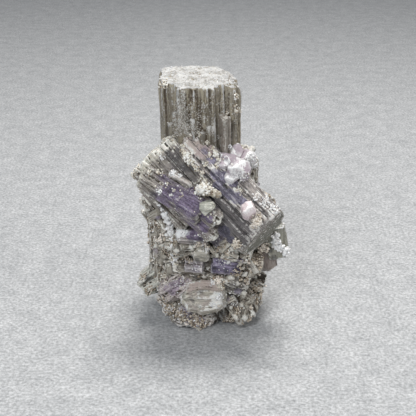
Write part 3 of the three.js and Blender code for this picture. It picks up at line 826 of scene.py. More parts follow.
BLADE_PALE = [(137, 168, 1.8), (146, 161, 1.8), (156, 151, 1.8), (166, 144, 1.8), (178, 141, 1.6),
              (160, 187, 1.2), (170, 193, 1.1), (178, 199, 1), (150, 172, 1.4), (219, 222, 1.2),
              (216, 238, 1.2), (147, 195, 1)]
BLADE_SHADE = [(190, 167, 2.2, 1.3), (176, 158, 1.8, 1.2), (183, 168, 2, 1.2), (168, 153, 1.2, 1.2),
              (203, 185, 1.4, 1.2), (177, 165, 2.2), (184, 176, 2.4), (170, 157, 1.6),
              (192, 178, 2), (200, 187, 2), (188, 163, 1.8), (195, 172, 2), (153, 195, 1.4),
              (162, 208, 1.4), (178, 152, 1.4)]
BLADE_VIOLET = [(174, 194, 2), (182, 202, 3), (192, 208, 3.4), (202, 213, 2.6), (200, 221, 2),
                (209, 220, 1.6), (167, 186, 1.4, 0.7), (192, 192, 2, 0.8), (205, 228, 2, 0.8)]
for number, blade in enumerate(BLADES):
    blade_long = length_between(blade["start"], blade["end"])
    piece = bundle(f"slanting_blade_{number + 1}", hex_outline(*blade["across"]), blade_long, 1.0,
                   blade["seed"], sunk=0.4, proud=0.4, uneven=(2.8, 1.6), broken=0.15,
                   low=blade["low"], high=round_end(blade["across"][0], blade["drop"]),
                   end_rib=1.4, plates=3, turned=0.6, fill=0.3, late=0.15)
    fuse(piece, 0.2)
    roughen(piece, [(3, 4, 0.7), (0.9, 10, 0.38), (0.5, 1.5, 0.22)], blade["seed"])
    mark_growth(piece, blade_long, blade["seed"])
    lay(piece, blade["start"], blade["end"], blade["faces"])
    seen = looker([piece])
    stain(piece, "pale", BLADE_PALE, seen)
    # The dark spots are painted shade in the grooves between the blades.
    stain(piece, "dark", BLADE_SHADE, seen)
    stain(piece, "violet", BLADE_VIOLET, seen)
    piece.data.materials.append(aragonite(
        f"blade aragonite {number + 1}", dark=(0.17, 0.15, 0.13), light=(0.46, 0.42, 0.37),
        cloudy=(0.3, 0.265, 0.25), zone=blade["zone"], violet=(0.12, 0.08, 0.16), line_width=0.65,
        frost=(0.88, 0.86, 0.79), frost_amount=0.28, ends_amount=0.5, dirt_and_shade_amount=0.65,
        end_colours=(0.08, (0.7, 0.66, 0.565), (0.54, 0.52, 0.42))))
    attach(piece, "root")
    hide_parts("grown_columns")
    crystals.append(piece)


# ---- Flank and foot ----------------------------------------------------------------------
# The short thick columns behind, beside and under the slanting ones. They grew through each
# other, olive to brown grey, and are cut flat underneath where the cluster was broken off.
GROWN_SETS = {
    "flank_columns": [
        ((-14.6, -5, 14), (-15, -6.5, 43), (9, 9), (0, -1, 0), 31),
        ((-12, -9, 20), (-13.5, -11.5, 39), (6, 6), (0, -1, 0), 34),
        ((12, -5.4, 36), (12.2, -7, 54.6), (5, 7), (-0.3, -1, 0), 32),
        ((6, -4, 46), (9.3, -7.5, 60), (8, 4), (0, -1, 0), 33),
        ((-20.2, -9, 44.6), (-12.6, -14.4, 34.6), (4.4, 4), (0, -1, 0.2), 35),
        ((-17.8, -6.5, 38), (-17.4, -10, 27), (4, 3.6), (-0.3, -1, 0), 36),
        ((-15.4, -8, 36), (-15, -12, 25), (3.6, 3.4), (0.2, -1, 0), 37),
    ],
    "collar_columns": [
        ((-11, -3, 24), (-15.6, -2, 43), (7, 6.5), (0, -1, 0), 101),
        ((-10, 5, 24), (-16, 7, 40), (7, 7), (0, -1, 0), 102),
        ((-4, 9, 24), (-9.5, 15, 41), (7.5, 7), (0, -1, 0), 103),
        ((4, 9, 24), (3.4, 14.8, 44), (7.5, 7), (0, -1, 0), 104),
        ((7, 3, 26), (10.6, 5.4, 47), (6.5, 6.5), (0, -1, 0), 105),
        ((-2, 11, 22), (-3, 16.5, 36), (6, 6), (0, -1, 0), 106),
    ],
    "back_columns": [
        ((3, 3, 12), (17, 12, 38), (13, 12), (0, -1, 0), 42),
        ((-2, 4, 14), (-17, 12, 35), (14, 12), (0, -1, 0), 43),
        ((0, 4, 14), (3, 20, 30), (15, 13), (0, -1, 0), 44),
        ((0, 4, 12), (-7, 17, 3), (16, 13), (0, -1, 0), 47),
        ((0, 3, 12), (13, 12, 5), (14, 12), (0, -1, 0), 53),
    ],
    "side_columns": [
        ((0, 0, 14), (17, -1, 7), (14, 13), (0, -1, 0), 45),
        ((0, 0, 14), (-16.5, -3, 9), (13, 12), (0, -1, 0), 46),
        ((4, 0, 30), (19, -3, 26), (12, 11), (0, -1, 0), 48),
    ],
    "foot_core": [
        ((-1, 2, 0), (-2, 1, 38), (25, 24), (0.4, -1, 0), 41),
    ],
    "front_columns": [
        ((-13, -8, 30), (13.5, -11, 27.5), (12, 12), (0, -1, 0.3), 52),
        ((-14, -10, 31), (-3, -15.5, 33.5), (8, 8), (0, -1, 0), 50),
        ((-2, -12, 39), (9, -14, 28.5), (10, 9), (0, -1, 0), 54),
        ((-11, -5, 22), (13, -8, 15), (13, 13), (0, -1, 0.3), 55),
        ((2, -5, 20), (12, -7.5, 2), (14, 12), (0.3, -1, 0.1), 49),
        ((-2, -5, 17), (-10, -7, 3), (13, 12), (-0.3, -1, 0), 56),
        ((-11, -6.5, 2.6), (-1.5, -9, 2), (8, 8), (-0.3, -1, -0.6), 57),
    ],
}
FOOT_PALE = [(163, 211, 1, 1.4), (166, 217, 1.2, 1.4), (169, 224, 1.4, 1.4), (171, 232, 1.6, 1.4),
             (172, 243, 1.2, 1.4), (172, 256, 1.4, 1.4), (178, 262, 1.2), (200, 250, 1),
             (230, 250, 1.4), (160, 235, 1.2), (157, 222, 1.4), (153, 240, 1), (205, 275, 1.2),
             (172, 268, 1.2), (244, 301, 0.7), (250, 308, 1), (205, 272, 1), (232, 322, 1.6),
             (165, 285, 1.6), (170, 245, 1.2), (236, 248, 1.4), (251, 170, 1.4, 1.2),
             (251, 180, 1.4, 1.2), (250, 187, 1, 1.2)]
FOOT_SHADE = [(155, 210, 2), (170, 255, 1.4), (185, 246, 1.4), (216, 246, 1.4), (232, 287, 3),
             (240, 276, 2.4), (215, 321, 2), (150, 250, 1.6), (244, 288, 2), (226, 300, 2),
             (196, 278, 1.2), (190, 256, 1.4), (252, 260, 2), (231, 296, 2.4), (234, 308, 2),
             (224, 314, 1.6), (152, 262, 1.4), (183, 262, 1), (206, 262, 1.2)]
FOOT_VIOLET = [(190, 318, 2.6), (200, 322, 2.4), (182, 312, 2), (222, 237, 2), (214, 243, 2),
               (240, 262, 1.4), (238, 291, 1.6)]


def cut_underneath(thing):
    """Cuts a piece off flat where the cluster stands."""
    only(thing)
    bpy.ops.object.mode_set(mode="EDIT")
    bpy.ops.mesh.select_all(action="SELECT")
    bpy.ops.mesh.bisect(plane_co=(0, 0, 0.00002), plane_no=(0, 0, 1), use_fill=True,
                        clear_inner=True)
    bpy.ops.object.mode_set(mode="OBJECT")


FINE_SETS = ("flank_columns", "front_columns", "side_columns")
BACK_SETS = ("back_columns", "collar_columns")
for set_name, columns in GROWN_SETS.items():
    grown = []
    for start, end, across, faces, seed in columns:
        long = length_between(start, end)
        column = bundle(set_name, hex_outline(*across), long, 1.4, seed, sunk=0.6, proud=0.6,
                        uneven=(1.5, 2.0), broken=0.35, end_rib=1.7, lean=2.5, plates=5,
                        turned=0.6, fill=0.3, late=0.15)
        fuse(column, 0.3 if set_name in FINE_SETS else 0.38)
        roughen(column, [(5, 2.5, 1.8), (1.6, 4, 0.8), (0.8, 1.3, 0.5)], seed)
        mark_growth(column, long, seed)
        lay(column, start, end, faces)
        cut_underneath(column)
        grown.append(column)
    piece = join(set_name, grown)
    seen = looker([piece])
    stain(piece, "pale", FOOT_PALE, seen)
    # The dark spots are painted shade in the hollows of the waist and foot.
    stain(piece, "dark", FOOT_SHADE, seen)
    stain(piece, "violet", FOOT_VIOLET, seen)
    piece.data.materials.append(aragonite(
        set_name.replace("_", " "), dark=(0.155, 0.13, 0.1), light=(0.57, 0.53, 0.45),
        cloudy=(0.4, 0.37, 0.32), frost=(0.93, 0.9, 0.83), ends_amount=0.2, dirt_and_shade_amount=0.65,
        frost_amount=0.08 if set_name in BACK_SETS else 0.27, violet=(0.22, 0.19, 0.24)))
    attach(piece, "root")
    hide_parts("grown_columns")
    crystals.append(piece)


# ---- Foot lumps --------------------------------------------------------------------------
# Rounded masses of tiny crystals under the barrel, grey violet, that the cluster stands on, and
# the reddish white ones on its left flank.
LUMPS = [(-12.6, -9.6, 5.6, 2.7), (-9.6, -10.2, 2.8, 3.2), (-6.6, -12.4, 3.4, 3.0),
         (-4.2, -12.4, 2.0, 2.7), (-1.2, -11.4, 2.6, 2.6), (-7.6, -13.2, 6.4, 2.4),
         (9.4, -8.6, 3.2, 2.8), (5.2, -8.6, 2.2, 2.2), (12.6, -7.4, 7.4, 2.6),
         (-14.6, -6.4, 7.4, 2.6), (-16, -9.8, 31.2, 1.5), (-17.2, -8.8, 28, 1.7),
         (-14.6, -11, 29.4, 1.2)]
LUMP_VIOLET = [(190, 318, 2.6), (200, 322, 2.4), (182, 310, 2), (178, 304, 1.6)]
LUMP_PALE = [(168, 310, 1.6), (157, 232, 2, 1.8), (159, 239, 1.6, 1.8), (195, 328, 1)]


def lumpy(name, lumps, grain, seed, clouds):
    """Balls grown into one mass, with a rough skin."""
    balls = []
    for x, y, z, radius in lumps:
        bpy.ops.mesh.primitive_ico_sphere_add(subdivisions=3, radius=radius, location=(x, y, z))
        bpy.ops.object.transform_apply(location=True)
        balls.append(bpy.context.object)
    mass = join(name, balls)
    fuse(mass, grain)
    roughen(mass, clouds, seed)
    mark_growth(mass, 10, seed)
    mass.matrix_world = Matrix.Scale(0.001, 4)
    only(mass)
    bpy.ops.object.transform_apply(scale=True)
    return mass


lump_mass = lumpy("foot_lumps", LUMPS, 0.28, 58, [(3, 1, 2.0), (1.3, 1, 1.2), (0.6, 1, 0.5)])
cut_underneath(lump_mass)
seen = looker([lump_mass])
stain(lump_mass, "violet", LUMP_VIOLET, seen)
stain(lump_mass, "pale", LUMP_PALE, seen)
lump_mass.data.materials.append(aragonite(
    "lump aragonite", dark=(0.22, 0.19, 0.165), light=(0.6, 0.555, 0.5), cloudy=(0.46, 0.42, 0.375),
    violet=(0.25, 0.215, 0.26), frost=(0.93, 0.89, 0.85), frost_amount=0.36, dirt_and_shade_amount=0.55))
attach(lump_mass, "root")
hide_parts("grown_columns")
crystals.append(lump_mass)


# ---- White blocks ------------------------------------------------------------------------
# Six squared glassy crystals wedged between the upright and the slanting column: white, with
# a breath of pink and violet, cracked and frosted along their edges.
WHITE_BLOCKS = [
    ((4.4, -12.5, 53), (6.4, -14.2, 59.6), (5.8, 5), (-0.4, -1, 0.3), 71),
    ((7.6, -14.5, 51.6), (8.5, -16.5, 58.2), (6.4, 5.6), (0.3, -1, 0.2), 72),
    ((11, -9.6, 54.2), (11.4, -11.2, 59.4), (4.4, 4.2), (0.5, -1, 0.2), 73),
    ((4.6, -8.4, 56.4), (10, -9.8, 59.6), (4, 4.4), (0, -1, 0.4), 74),
    ((2.6, -14.5, 54.4), (3.6, -15.8, 58.6), (3.2, 3), (-0.5, -1, 0), 75),
    ((6.4, -16.3, 51), (5.6, -17.6, 55.4), (3.2, 3.2), (-0.2, -1, 0.4), 76),
]
BLOCK_PALE = [(237, 170, 2.6), (243, 163, 1.6), (227, 162, 1.2), (232, 152, 1.4), (230, 178, 1.4),
              (250, 158, 1.5)]
BLOCK_VIOLET = [(229, 158, 2.2), (232, 149, 2), (239, 148, 2), (245, 149, 1.4), (222, 162, 1.2),
                (248, 177, 1)]


def block_outline(wide, deep):
    """The section of a squared crystal, its corners cut a little."""
    corners = [(1, -0.7), (1, 0.75), (0.8, 1), (-0.85, 1), (-1, 0.7), (-1, -0.8), (-0.75, -1),
               (0.8, -1)]
    return [(x * wide / 2, y * deep / 2) for x, y in corners]


def glassy(name, tint, depth, frost=(0.9, 0.88, 0.86), frost_amount=0.3, clear=0.35, rough=0.18,
           dirt_and_shade_colour=(0.3, 0.26, 0.24), dirt_and_shade_amount=0.0):
    """A clear crystal, tinted, cloudy inside, frosted along its edges."""
    material = bpy.data.materials.new(name)
    material.use_nodes = True
    tree = material.node_tree
    surface = tree.nodes["Principled BSDF"]
    weather = add(tree, "ShaderNodeGroup", (-1000, 0), node_tree=weathering,
                  Frost=frost_amount, Dirt=dirt_and_shade_amount, Ends=0.0)
    deeper = add(tree, "ShaderNodeAttribute", (-1000, 400), attribute_name="violet")
    inner = spread(tree, (-800, 200), weather.outputs["Patch"], 0.4, 0.6)
    inner = maths(tree, "MAXIMUM", (-700, 300), inner, deeper.outputs["Fac"])
    colour = blend(tree, (-600, 200), inner, tint, depth)
    # Dirt and painted shade in hollows and deep between crystals.
    colour = blend(tree, (-400, 200), weather.outputs["Dirty"], colour, dirt_and_shade_colour)
    colour = blend(tree, (-200, 200), weather.outputs["Frosted"], colour, frost)
    roughness = maths(tree, "MULTIPLY_ADD", (-300, 0), weather.outputs["Frosted"], 0.35, rough)
    relief = add(tree, "ShaderNodeBump", (-300, -300), Strength=0.35, Distance=0.0004)
    wire(tree, (colour, surface.inputs["Base Color"]), (roughness, surface.inputs["Roughness"]),
         (weather.outputs["Grain"], relief.inputs["Height"]),
         (relief.outputs["Normal"], surface.inputs["Normal"]))
    surface.inputs["IOR"].default_value = 1.6
    surface.inputs["Transmission Weight"].default_value = clear
    surface.inputs["Subsurface Weight"].default_value = 0.25
    surface.inputs["Subsurface Radius"].default_value = (1.0, 0.9, 0.9)
    surface.inputs["Subsurface Scale"].default_value = 0.0008
    return material


def facet(thing, long, wide, seed, ends=(1,), slopes=(25, 55), count=4):
    """Fuses a crystal and cuts flat faces across its ends: 1 is its end, 0 its start."""
    chance = np.random.RandomState(seed)
    fuse(thing, 0.2)
    bpy.ops.object.mode_set(mode="EDIT")
    for end in ends:
        for n in range(count):
            round_it = math.tau * (n + chance.uniform(0, 0.8)) / count
            slope = math.radians(chance.uniform(*slopes))
            way = Vector((math.cos(round_it) * math.sin(slope),
                          math.sin(round_it) * math.sin(slope),
                          math.cos(slope) * (1 if end else -1)))
            middle = Vector((0, 0, long * end)) + way * wide * chance.uniform(0.0, 0.12)
            bpy.ops.mesh.select_all(action="SELECT")
            bpy.ops.mesh.bisect(plane_co=middle, plane_no=way, use_fill=True, clear_outer=True)
    bpy.ops.object.mode_set(mode="OBJECT")


blocks = []
for start, end, across, faces, seed in WHITE_BLOCKS:
    long = length_between(start, end)
    block = bundle("white_blocks", block_outline(*across), long, 2.6, seed, sunk=0.1, proud=0.15,
                   uneven=(0, 0.1), broken=0.0, plain=True)
    facet(block, long, across[0], seed, ends=(0, 1), slopes=(20, 45), count=3)
    fuse(block, 0.18)
    roughen(block, [(2.0, 2, 0.35), (0.5, 1.5, 0.2)], seed)
    mark_growth(block, long, seed)
    lay(block, start, end, faces)
    blocks.append(block)
white_blocks = join("white_blocks", blocks)
seen = looker([white_blocks])
stain(white_blocks, "pale", BLOCK_PALE, seen)
stain(white_blocks, "violet", BLOCK_VIOLET, seen)
white_blocks.data.materials.append(glassy(
    "white aragonite", tint=(0.71, 0.7, 0.7), depth=(0.44, 0.37, 0.41), frost=(0.88, 0.875, 0.87),
    frost_amount=0.3, clear=0.06))
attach(white_blocks, "root")
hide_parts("white_blocks")
crystals.append(white_blocks)


# ---- Pale green crystal ------------------------------------------------------------------
# A rounded stub of aragonite on the front of the slanting column, pale green, waxy and clear at
# its rim. It lies level under the knob, its back grown into the blades.
PALE_GREEN_START = (-3.8, -23.4, 46.2)
PALE_GREEN_END = (1.6, -24.4, 46.4)


def swollen(thing, long, start, middle, stop):
    """Gives a column a barrel's shape, by how wide it is at its ends and in its middle."""
    points = arrays_of(thing.data)[0]
    share = np.clip(points[:, 2] / long, 0, 1)
    width = np.interp(share, [0, 0.18, 0.5, 0.82, 1], [start, (start + 2 * middle) / 3, middle,
                                                       (stop + 2 * middle) / 3, stop])
    points[:, :2] *= width[:, None]
    thing.data.vertices.foreach_set("co", points.ravel())
    thing.data.update()


pale_green_long = length_between(PALE_GREEN_START, PALE_GREEN_END)
pale_green = bundle("pale_green_crystal", hex_outline(4.4, 4.2), pale_green_long, 1.3, 62,
                    sunk=0.3, proud=0.1, uneven=(0.3, 0.3), broken=0.0)
facet(pale_green, pale_green_long, 4.4, 62, ends=(0, 1))
fuse(pale_green, 0.18)
swollen(pale_green, pale_green_long, 0.5, 1.05, 0.6)
roughen(pale_green, [(1.6, 1.5, 0.4), (0.7, 2, 0.2)], 62)
mark_growth(pale_green, pale_green_long, 62)
lay(pale_green, PALE_GREEN_START, PALE_GREEN_END)
pale_green.data.materials.append(glassy(
    "pale green aragonite", tint=(0.6, 0.6, 0.52), depth=(0.4, 0.4, 0.34),
    frost=(0.78, 0.77, 0.68), frost_amount=0.4, clear=0.2, rough=0.25, dirt_and_shade_amount=0.3))
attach(pale_green, "root")
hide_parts("pale_green_crystal")
crystals.append(pale_green)


# ---- Pale finger crystal -----------------------------------------------------------------
# A thin milky finger that lies in the groove between two blades, with a round white tip at the
# left. Its back is grown into them all along.
FINGER_START = (-12.2, -19.4, 55.6)
FINGER_END = (-5.6, -21, 52)
finger_long = length_between(FINGER_START, FINGER_END)
finger = bundle("pale_finger_crystal", hex_outline(2.3, 2.3), finger_long, 0.9, 64, sunk=0.3,
                proud=0.2, uneven=(0.4, 0.8), broken=0.2, plates=2, low=lambda x, y: 0.3 * abs(x))
fuse(finger, 0.15)
swollen(finger, finger_long, 1.1, 0.85, 0.7)
roughen(finger, [(1.6, 1.5, 0.5), (0.7, 1.2, 0.3)], 64)
mark_growth(finger, finger_long, 64)
lay(finger, FINGER_START, FINGER_END)
stain(finger, "pale", [(172, 174, 1.4), (175, 171, 1.2), (183, 176, 1)])
finger.data.materials.append(aragonite(
    "finger aragonite", dark=(0.36, 0.32, 0.29), light=(0.68, 0.64, 0.6), frost=(0.92, 0.89, 0.86),
    frost_amount=0.35, dirt_and_shade_amount=0.4, glow=0.3, rough=0.25, dirt_and_shade_colour=(0.16, 0.13, 0.12)))
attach(finger, "root")
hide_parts("pale_finger_crystal")
crystals.append(finger)


# ---- Pink crystal ------------------------------------------------------------------------
# A squat six-sided crystal, clear and faintly pink, near the slanting column's end. It grew
# straight out of the column's face, and its own end is three flat facets.
PINK_START = (10.8, -21.5, 45.4)
PINK_END = (11.6, -25.4, 44.2)
pink_long = length_between(PINK_START, PINK_END)
pink = bundle("pink_crystal", hex_outline(4.6, 4.4), pink_long, 2.0, 63, sunk=0.1, proud=0.1,
              uneven=(0, 0.1), broken=0, plain=True)
facet(pink, pink_long, 4.4, 64, slopes=(20, 50), count=3)
fuse(pink, 0.16)
roughen(pink, [(2, 1, 0.25), (0.6, 1, 0.14)], 63)
mark_growth(pink, pink_long, 63)
lay(pink, PINK_START, PINK_END, (0.3, 0, 1))
stain(pink, "pale", [(249, 209, 1.5), (245, 213, 1)])
pink.data.materials.append(glassy(
    "pink aragonite", tint=(0.8, 0.71, 0.71), depth=(0.6, 0.49, 0.51), frost=(0.95, 0.9, 0.89),
    frost_amount=0.35, clear=0.06))
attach(pink, "root")
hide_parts("pink_crystal")
crystals.append(pink)


# ---- Right side crystal ------------------------------------------------------------------
# A squared olive column standing against the slanting column's lower end, with its stem, both
# patched with white.
RIGHT_SIDE = [
    ((20.4, -7, 33.4), (22, -8.4, 22.4), (6, 6.4), (-0.25, -1, 0.1), 81),
    ((12, -6, 30), (19.6, -7.4, 27), (6.4, 6), (0, -1, 0), 82),
]
SIDE_PALE = [(278, 235, 0.9, 2), (276, 240, 1.1, 2), (276, 246, 1.2, 2), (286, 251, 1.2, 2),
             (287, 257, 1.4, 2), (284, 260, 1.1, 2)]
sides = []
for start, end, across, faces, seed in RIGHT_SIDE:
    long = length_between(start, end)
    side = bundle("right_side_crystal", block_outline(*across), long, 1.6, seed, sunk=0.2,
                  proud=0.1, uneven=(0.2, 0.4), broken=0, lean=0.3, plain=True)
    facet(side, long, across[0], seed, slopes=(8, 30), count=3)
    fuse(side, 0.22)
    roughen(side, [(3, 2, 0.8), (1.2, 3, 0.4), (0.6, 1.2, 0.25)], seed)
    mark_growth(side, long, seed)
    lay(side, start, end, faces)
    sides.append(side)
right_side = join("right_side_crystal", sides)
seen = looker([right_side])
stain(right_side, "pale", SIDE_PALE, seen)
# These dark spots multiply the colour darker, as painted shade.
stain(right_side, "dark", [(270, 250, 1.2), (274, 258, 1.2)], seen)
right_side.data.materials.append(aragonite(
    "right side aragonite", dark=(0.24, 0.23, 0.18), light=(0.46, 0.45, 0.37),
    cloudy=(0.34, 0.33, 0.28), frost=(1, 1, 1), frost_amount=0.05, dirt_and_shade_amount=0.4))
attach(right_side, "root")
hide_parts("right_side_crystal")
crystals.append(right_side)


# ---- Right hanging crystal ---------------------------------------------------------------
# A smooth brown block of aragonite that hangs under the right side crystal, which it grew from,
# waxy, worn and broken below.
HANGING_START = (17.4, -6.4, 27)
HANGING_END = (18.8, -8.4, 18)
hanging_long = length_between(HANGING_START, HANGING_END)
hanging = bundle("right_hanging_crystal", block_outline(5, 5.5), hanging_long, 1.9, 83, sunk=0.3,
                 proud=0.2, uneven=(0, 1.0), broken=0.05)
facet(hanging, hanging_long, 5, 83, slopes=(15, 40))
fuse(hanging, 0.2)
roughen(hanging, [(2.5, 2, 0.6), (0.9, 3, 0.3)], 83)
mark_growth(hanging, hanging_long, 83)
lay(hanging, HANGING_START, HANGING_END)
hanging.data.materials.append(aragonite(
    "hanging aragonite", dark=(0.15, 0.115, 0.1), light=(0.33, 0.28, 0.25), frost_amount=0.15,
    frost=(0.5, 0.44, 0.4), dirt_and_shade_amount=0.5, rough=0.35, cloudy=(0.2, 0.16, 0.15)))
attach(hanging, "root")
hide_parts("right_hanging_crystal")
crystals.append(hanging)


# ---- Waist crystals ----------------------------------------------------------------------
# Five crystals lying across the waist, under the blades: a violet prism with a white tip, an
# olive block, a dark violet block, a lavender one and a crumbly brown one at the right.
WAIST = [
    dict(name="waist_violet_prism", start=(-10.4, -17, 34.8), end=(-0.4, -18.2, 34), outline=
         hex_outline(5.6, 5.4), faces=(0, -1, 0), seed=65, slot="violet_aragonite",
         pale=[(181, 234, 1.8, 2), (186, 232, 1.4, 2)], dark=[(192, 241, 1.5), (200, 240, 1.5)],
         violet=[(196, 233, 3), (204, 233, 3), (190, 236, 1.6)],
         finish=dict(dark=(0.24, 0.21, 0.2), light=(0.55, 0.5, 0.48), violet=(0.16, 0.11, 0.2),
                     frost=(1, 0.97, 0.98), frost_amount=0.18, rough=0.28)),
    dict(name="waist_olive_block", start=(-5, -16, 28.8), end=(0.2, -16.8, 28.4), outline=
         block_outline(5.2, 4.4), faces=(0, -1, 0), seed=84, slot="olive_aragonite",
         pale=[(200, 250, 0.8), (210, 258, 0.8)], dark=[(197, 260, 1)], violet=[],
         finish=dict(dark=(0.33, 0.31, 0.26), light=(0.55, 0.52, 0.45), frost_amount=0.25,
                     frost=(0.8, 0.77, 0.7), rough=0.3)),
    dict(name="waist_violet_block", start=(0.4, -13.4, 23.4), end=(9.8, -13.2, 22.6), outline=
         block_outline(5.6, 5.4), faces=(0, -1, 0.3), seed=85, slot="violet_aragonite",
         pale=[(230, 262, 0.8, 1.4), (222, 258, 0.8, 1.2), (216, 264, 0.6), (235, 268, 0.6)],
         dark=[(238, 270, 1.6), (214, 268, 1), (226, 271, 1), (222, 263, 0.7)],
         violet=[(218, 266, 3), (226, 266, 3), (234, 265, 3)],
         finish=dict(dark=(0.17, 0.15, 0.17), light=(0.42, 0.38, 0.44), violet=(0.17, 0.14, 0.235),
                     frost=(0.78, 0.74, 0.8), frost_amount=0.2, rough=0.25, bump=0.9)),
    dict(name="waist_lavender_block", start=(-8, -13.6, 23), end=(-1.8, -14.2, 22.8), outline=
         block_outline(4.4, 5), faces=(0, -1, 0.3), seed=86, slot="violet_aragonite",
         pale=[(190, 264, 0.8), (200, 270, 0.8)], dark=[(188, 272, 1)],
         violet=[(196, 268, 2, 0.6)],
         finish=dict(dark=(0.25, 0.22, 0.225), light=(0.48, 0.44, 0.45), violet=(0.25, 0.215, 0.27),
                     frost=(0.78, 0.74, 0.74), frost_amount=0.25, rough=0.32)),
    dict(name="waist_brown_block", start=(7, -8, 22), end=(17, -9.4, 20.8), outline=
         hex_outline(7.5, 8), faces=(0, -1, 0), seed=66, slot="brown_aragonite",
         pale=[(252, 268, 1.2), (246, 262, 1)], dark=[(242, 276, 1.4), (258, 276, 1.6)], violet=[],
         finish=dict(dark=(0.2, 0.165, 0.13), light=(0.45, 0.4, 0.33), frost_amount=0.3,
                     frost=(0.72, 0.66, 0.57), bump=0.8)),
]
for made in WAIST:
    long = length_between(made["start"], made["end"])
    piece = bundle(made["name"], made["outline"], long, 1.5, made["seed"], sunk=0.35, proud=0.3,
                   uneven=(0.8, 0.8), broken=0.2, plates=2, lean=1.0)
    facet(piece, long, 5, made["seed"], ends=(0, 1), slopes=(8, 32), count=3)
    fuse(piece, 0.19)
    roughen(piece, [(2.2, 2, 0.6), (0.9, 3, 0.35), (0.5, 1.2, 0.2)], made["seed"])
    mark_growth(piece, long, made["seed"])
    lay(piece, made["start"], made["end"], made["faces"])
    seen = looker([piece])
    stain(piece, "pale", made["pale"], seen)
    # The dark spots are painted shade in the hollows round each crystal.
    stain(piece, "dark", made["dark"], seen)
    stain(piece, "violet", made["violet"], seen)
    piece.data.materials.append(aragonite(made["name"].replace("_", " "), **made["finish"]))
    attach(piece, "root")
    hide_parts(made["name"])
    crystals.append(piece)


# ---- Barrel crystal ----------------------------------------------------------------------
# The thick rounded crystal that lies across the foot: olive and finely striated in front,
# pinkish on top, with white lumps at its right end.
BARREL_START = (-9.6, -13, 11)
BARREL_END = (5, -15.4, 12.6)
BARREL_PALE = [(216, 298, 1.8, 1.8), (213, 305, 1.4, 1.6), (219, 302, 1.2, 1.6), (180, 298, 1.2),
               (186, 306, 0.8), (207, 308, 1)]
BARREL_BLUSH = [(200, 284, 2.6), (191, 286, 2.2), (209, 284, 2.4), (214, 289, 1.6)]
barrel_long = length_between(BARREL_START, BARREL_END)
barrel = bundle("barrel_crystal", hex_outline(11.6, 9), barrel_long, 2.0, 91, sunk=0.15, proud=0.15,
                uneven=(1.0, 1.2), broken=0.1, end_rib=2.4, plates=2)
fuse(barrel, 0.22)
swollen(barrel, barrel_long, 0.24, 1.06, 0.6)
roughen(barrel, [(4, 2, 1.6), (1.0, 7, 0.35), (0.5, 1.5, 0.2)], 91)
mark_growth(barrel, barrel_long, 91)
lay(barrel, BARREL_START, BARREL_END)
seen = looker([barrel])
stain(barrel, "pale", BARREL_PALE, seen)
# These dark spots multiply the colour darker, as painted shade.
stain(barrel, "dark", [(200, 291, 1.2), (192, 300, 1), (222, 312, 1.4)], seen)
stain(barrel, "blush", BARREL_BLUSH, seen)
barrel.data.materials.append(aragonite(
    "barrel aragonite", dark=(0.31, 0.28, 0.22), light=(0.8, 0.76, 0.66), line_width=0.7,
    cloudy=(0.56, 0.48, 0.44), frost=(0.95, 0.93, 0.88), frost_amount=0.36, dirt_and_shade_amount=0.3,
    rough=0.3, bump=0.8, blush=(0.6, 0.49, 0.45)))
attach(barrel, "root")
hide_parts("barrel_crystal")
crystals.append(barrel)


# ---- Foot violet crystal -----------------------------------------------------------------
# A rounded crystal at the barrel's left shoulder, dusty violet and brown. It slants up to the
# right, ribbed along its length, and its back is grown into the foot.
FOOT_VIOLET_START = (-15.2, -9.6, 10.6)
FOOT_VIOLET_END = (-6.6, -12.2, 17.4)
SHOULDER_PALE = [(174, 279, 1), (166, 283, 1.2), (163, 298, 1.4), (184, 277, 0.8)]
SHOULDER_VIOLET = [(174, 286, 2.4, 0.8), (181, 282, 2, 0.75), (172, 292, 1.8, 0.8),
                   (188, 279, 1.8, 0.7), (166, 289, 1.8, 0.6)]
foot_violet_long = length_between(FOOT_VIOLET_START, FOOT_VIOLET_END)
foot_violet = bundle("foot_violet_crystal", hex_outline(8.6, 8), foot_violet_long, 1.7, 92,
                     sunk=0.4, proud=0.3, uneven=(1.2, 1.0), broken=0.2, end_rib=2.2, plates=3)
fuse(foot_violet, 0.22)
swollen(foot_violet, foot_violet_long, 0.7, 1.02, 0.72)
roughen(foot_violet, [(3, 1.5, 1.2), (1.0, 3, 0.5), (0.5, 1.2, 0.25)], 92)
mark_growth(foot_violet, foot_violet_long, 92)
lay(foot_violet, FOOT_VIOLET_START, FOOT_VIOLET_END)
seen = looker([foot_violet])
stain(foot_violet, "pale", SHOULDER_PALE, seen)
stain(foot_violet, "violet", SHOULDER_VIOLET, seen)
foot_violet.data.materials.append(aragonite(
    "foot violet aragonite", dark=(0.28, 0.235, 0.22), light=(0.74, 0.67, 0.63),
    cloudy=(0.53, 0.45, 0.45), violet=(0.34, 0.265, 0.33), frost=(0.82, 0.76, 0.72),
    frost_amount=0.34, dirt_and_shade_amount=0.6))
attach(foot_violet, "root")
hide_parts("foot_violet_crystal")
crystals.append(foot_violet)


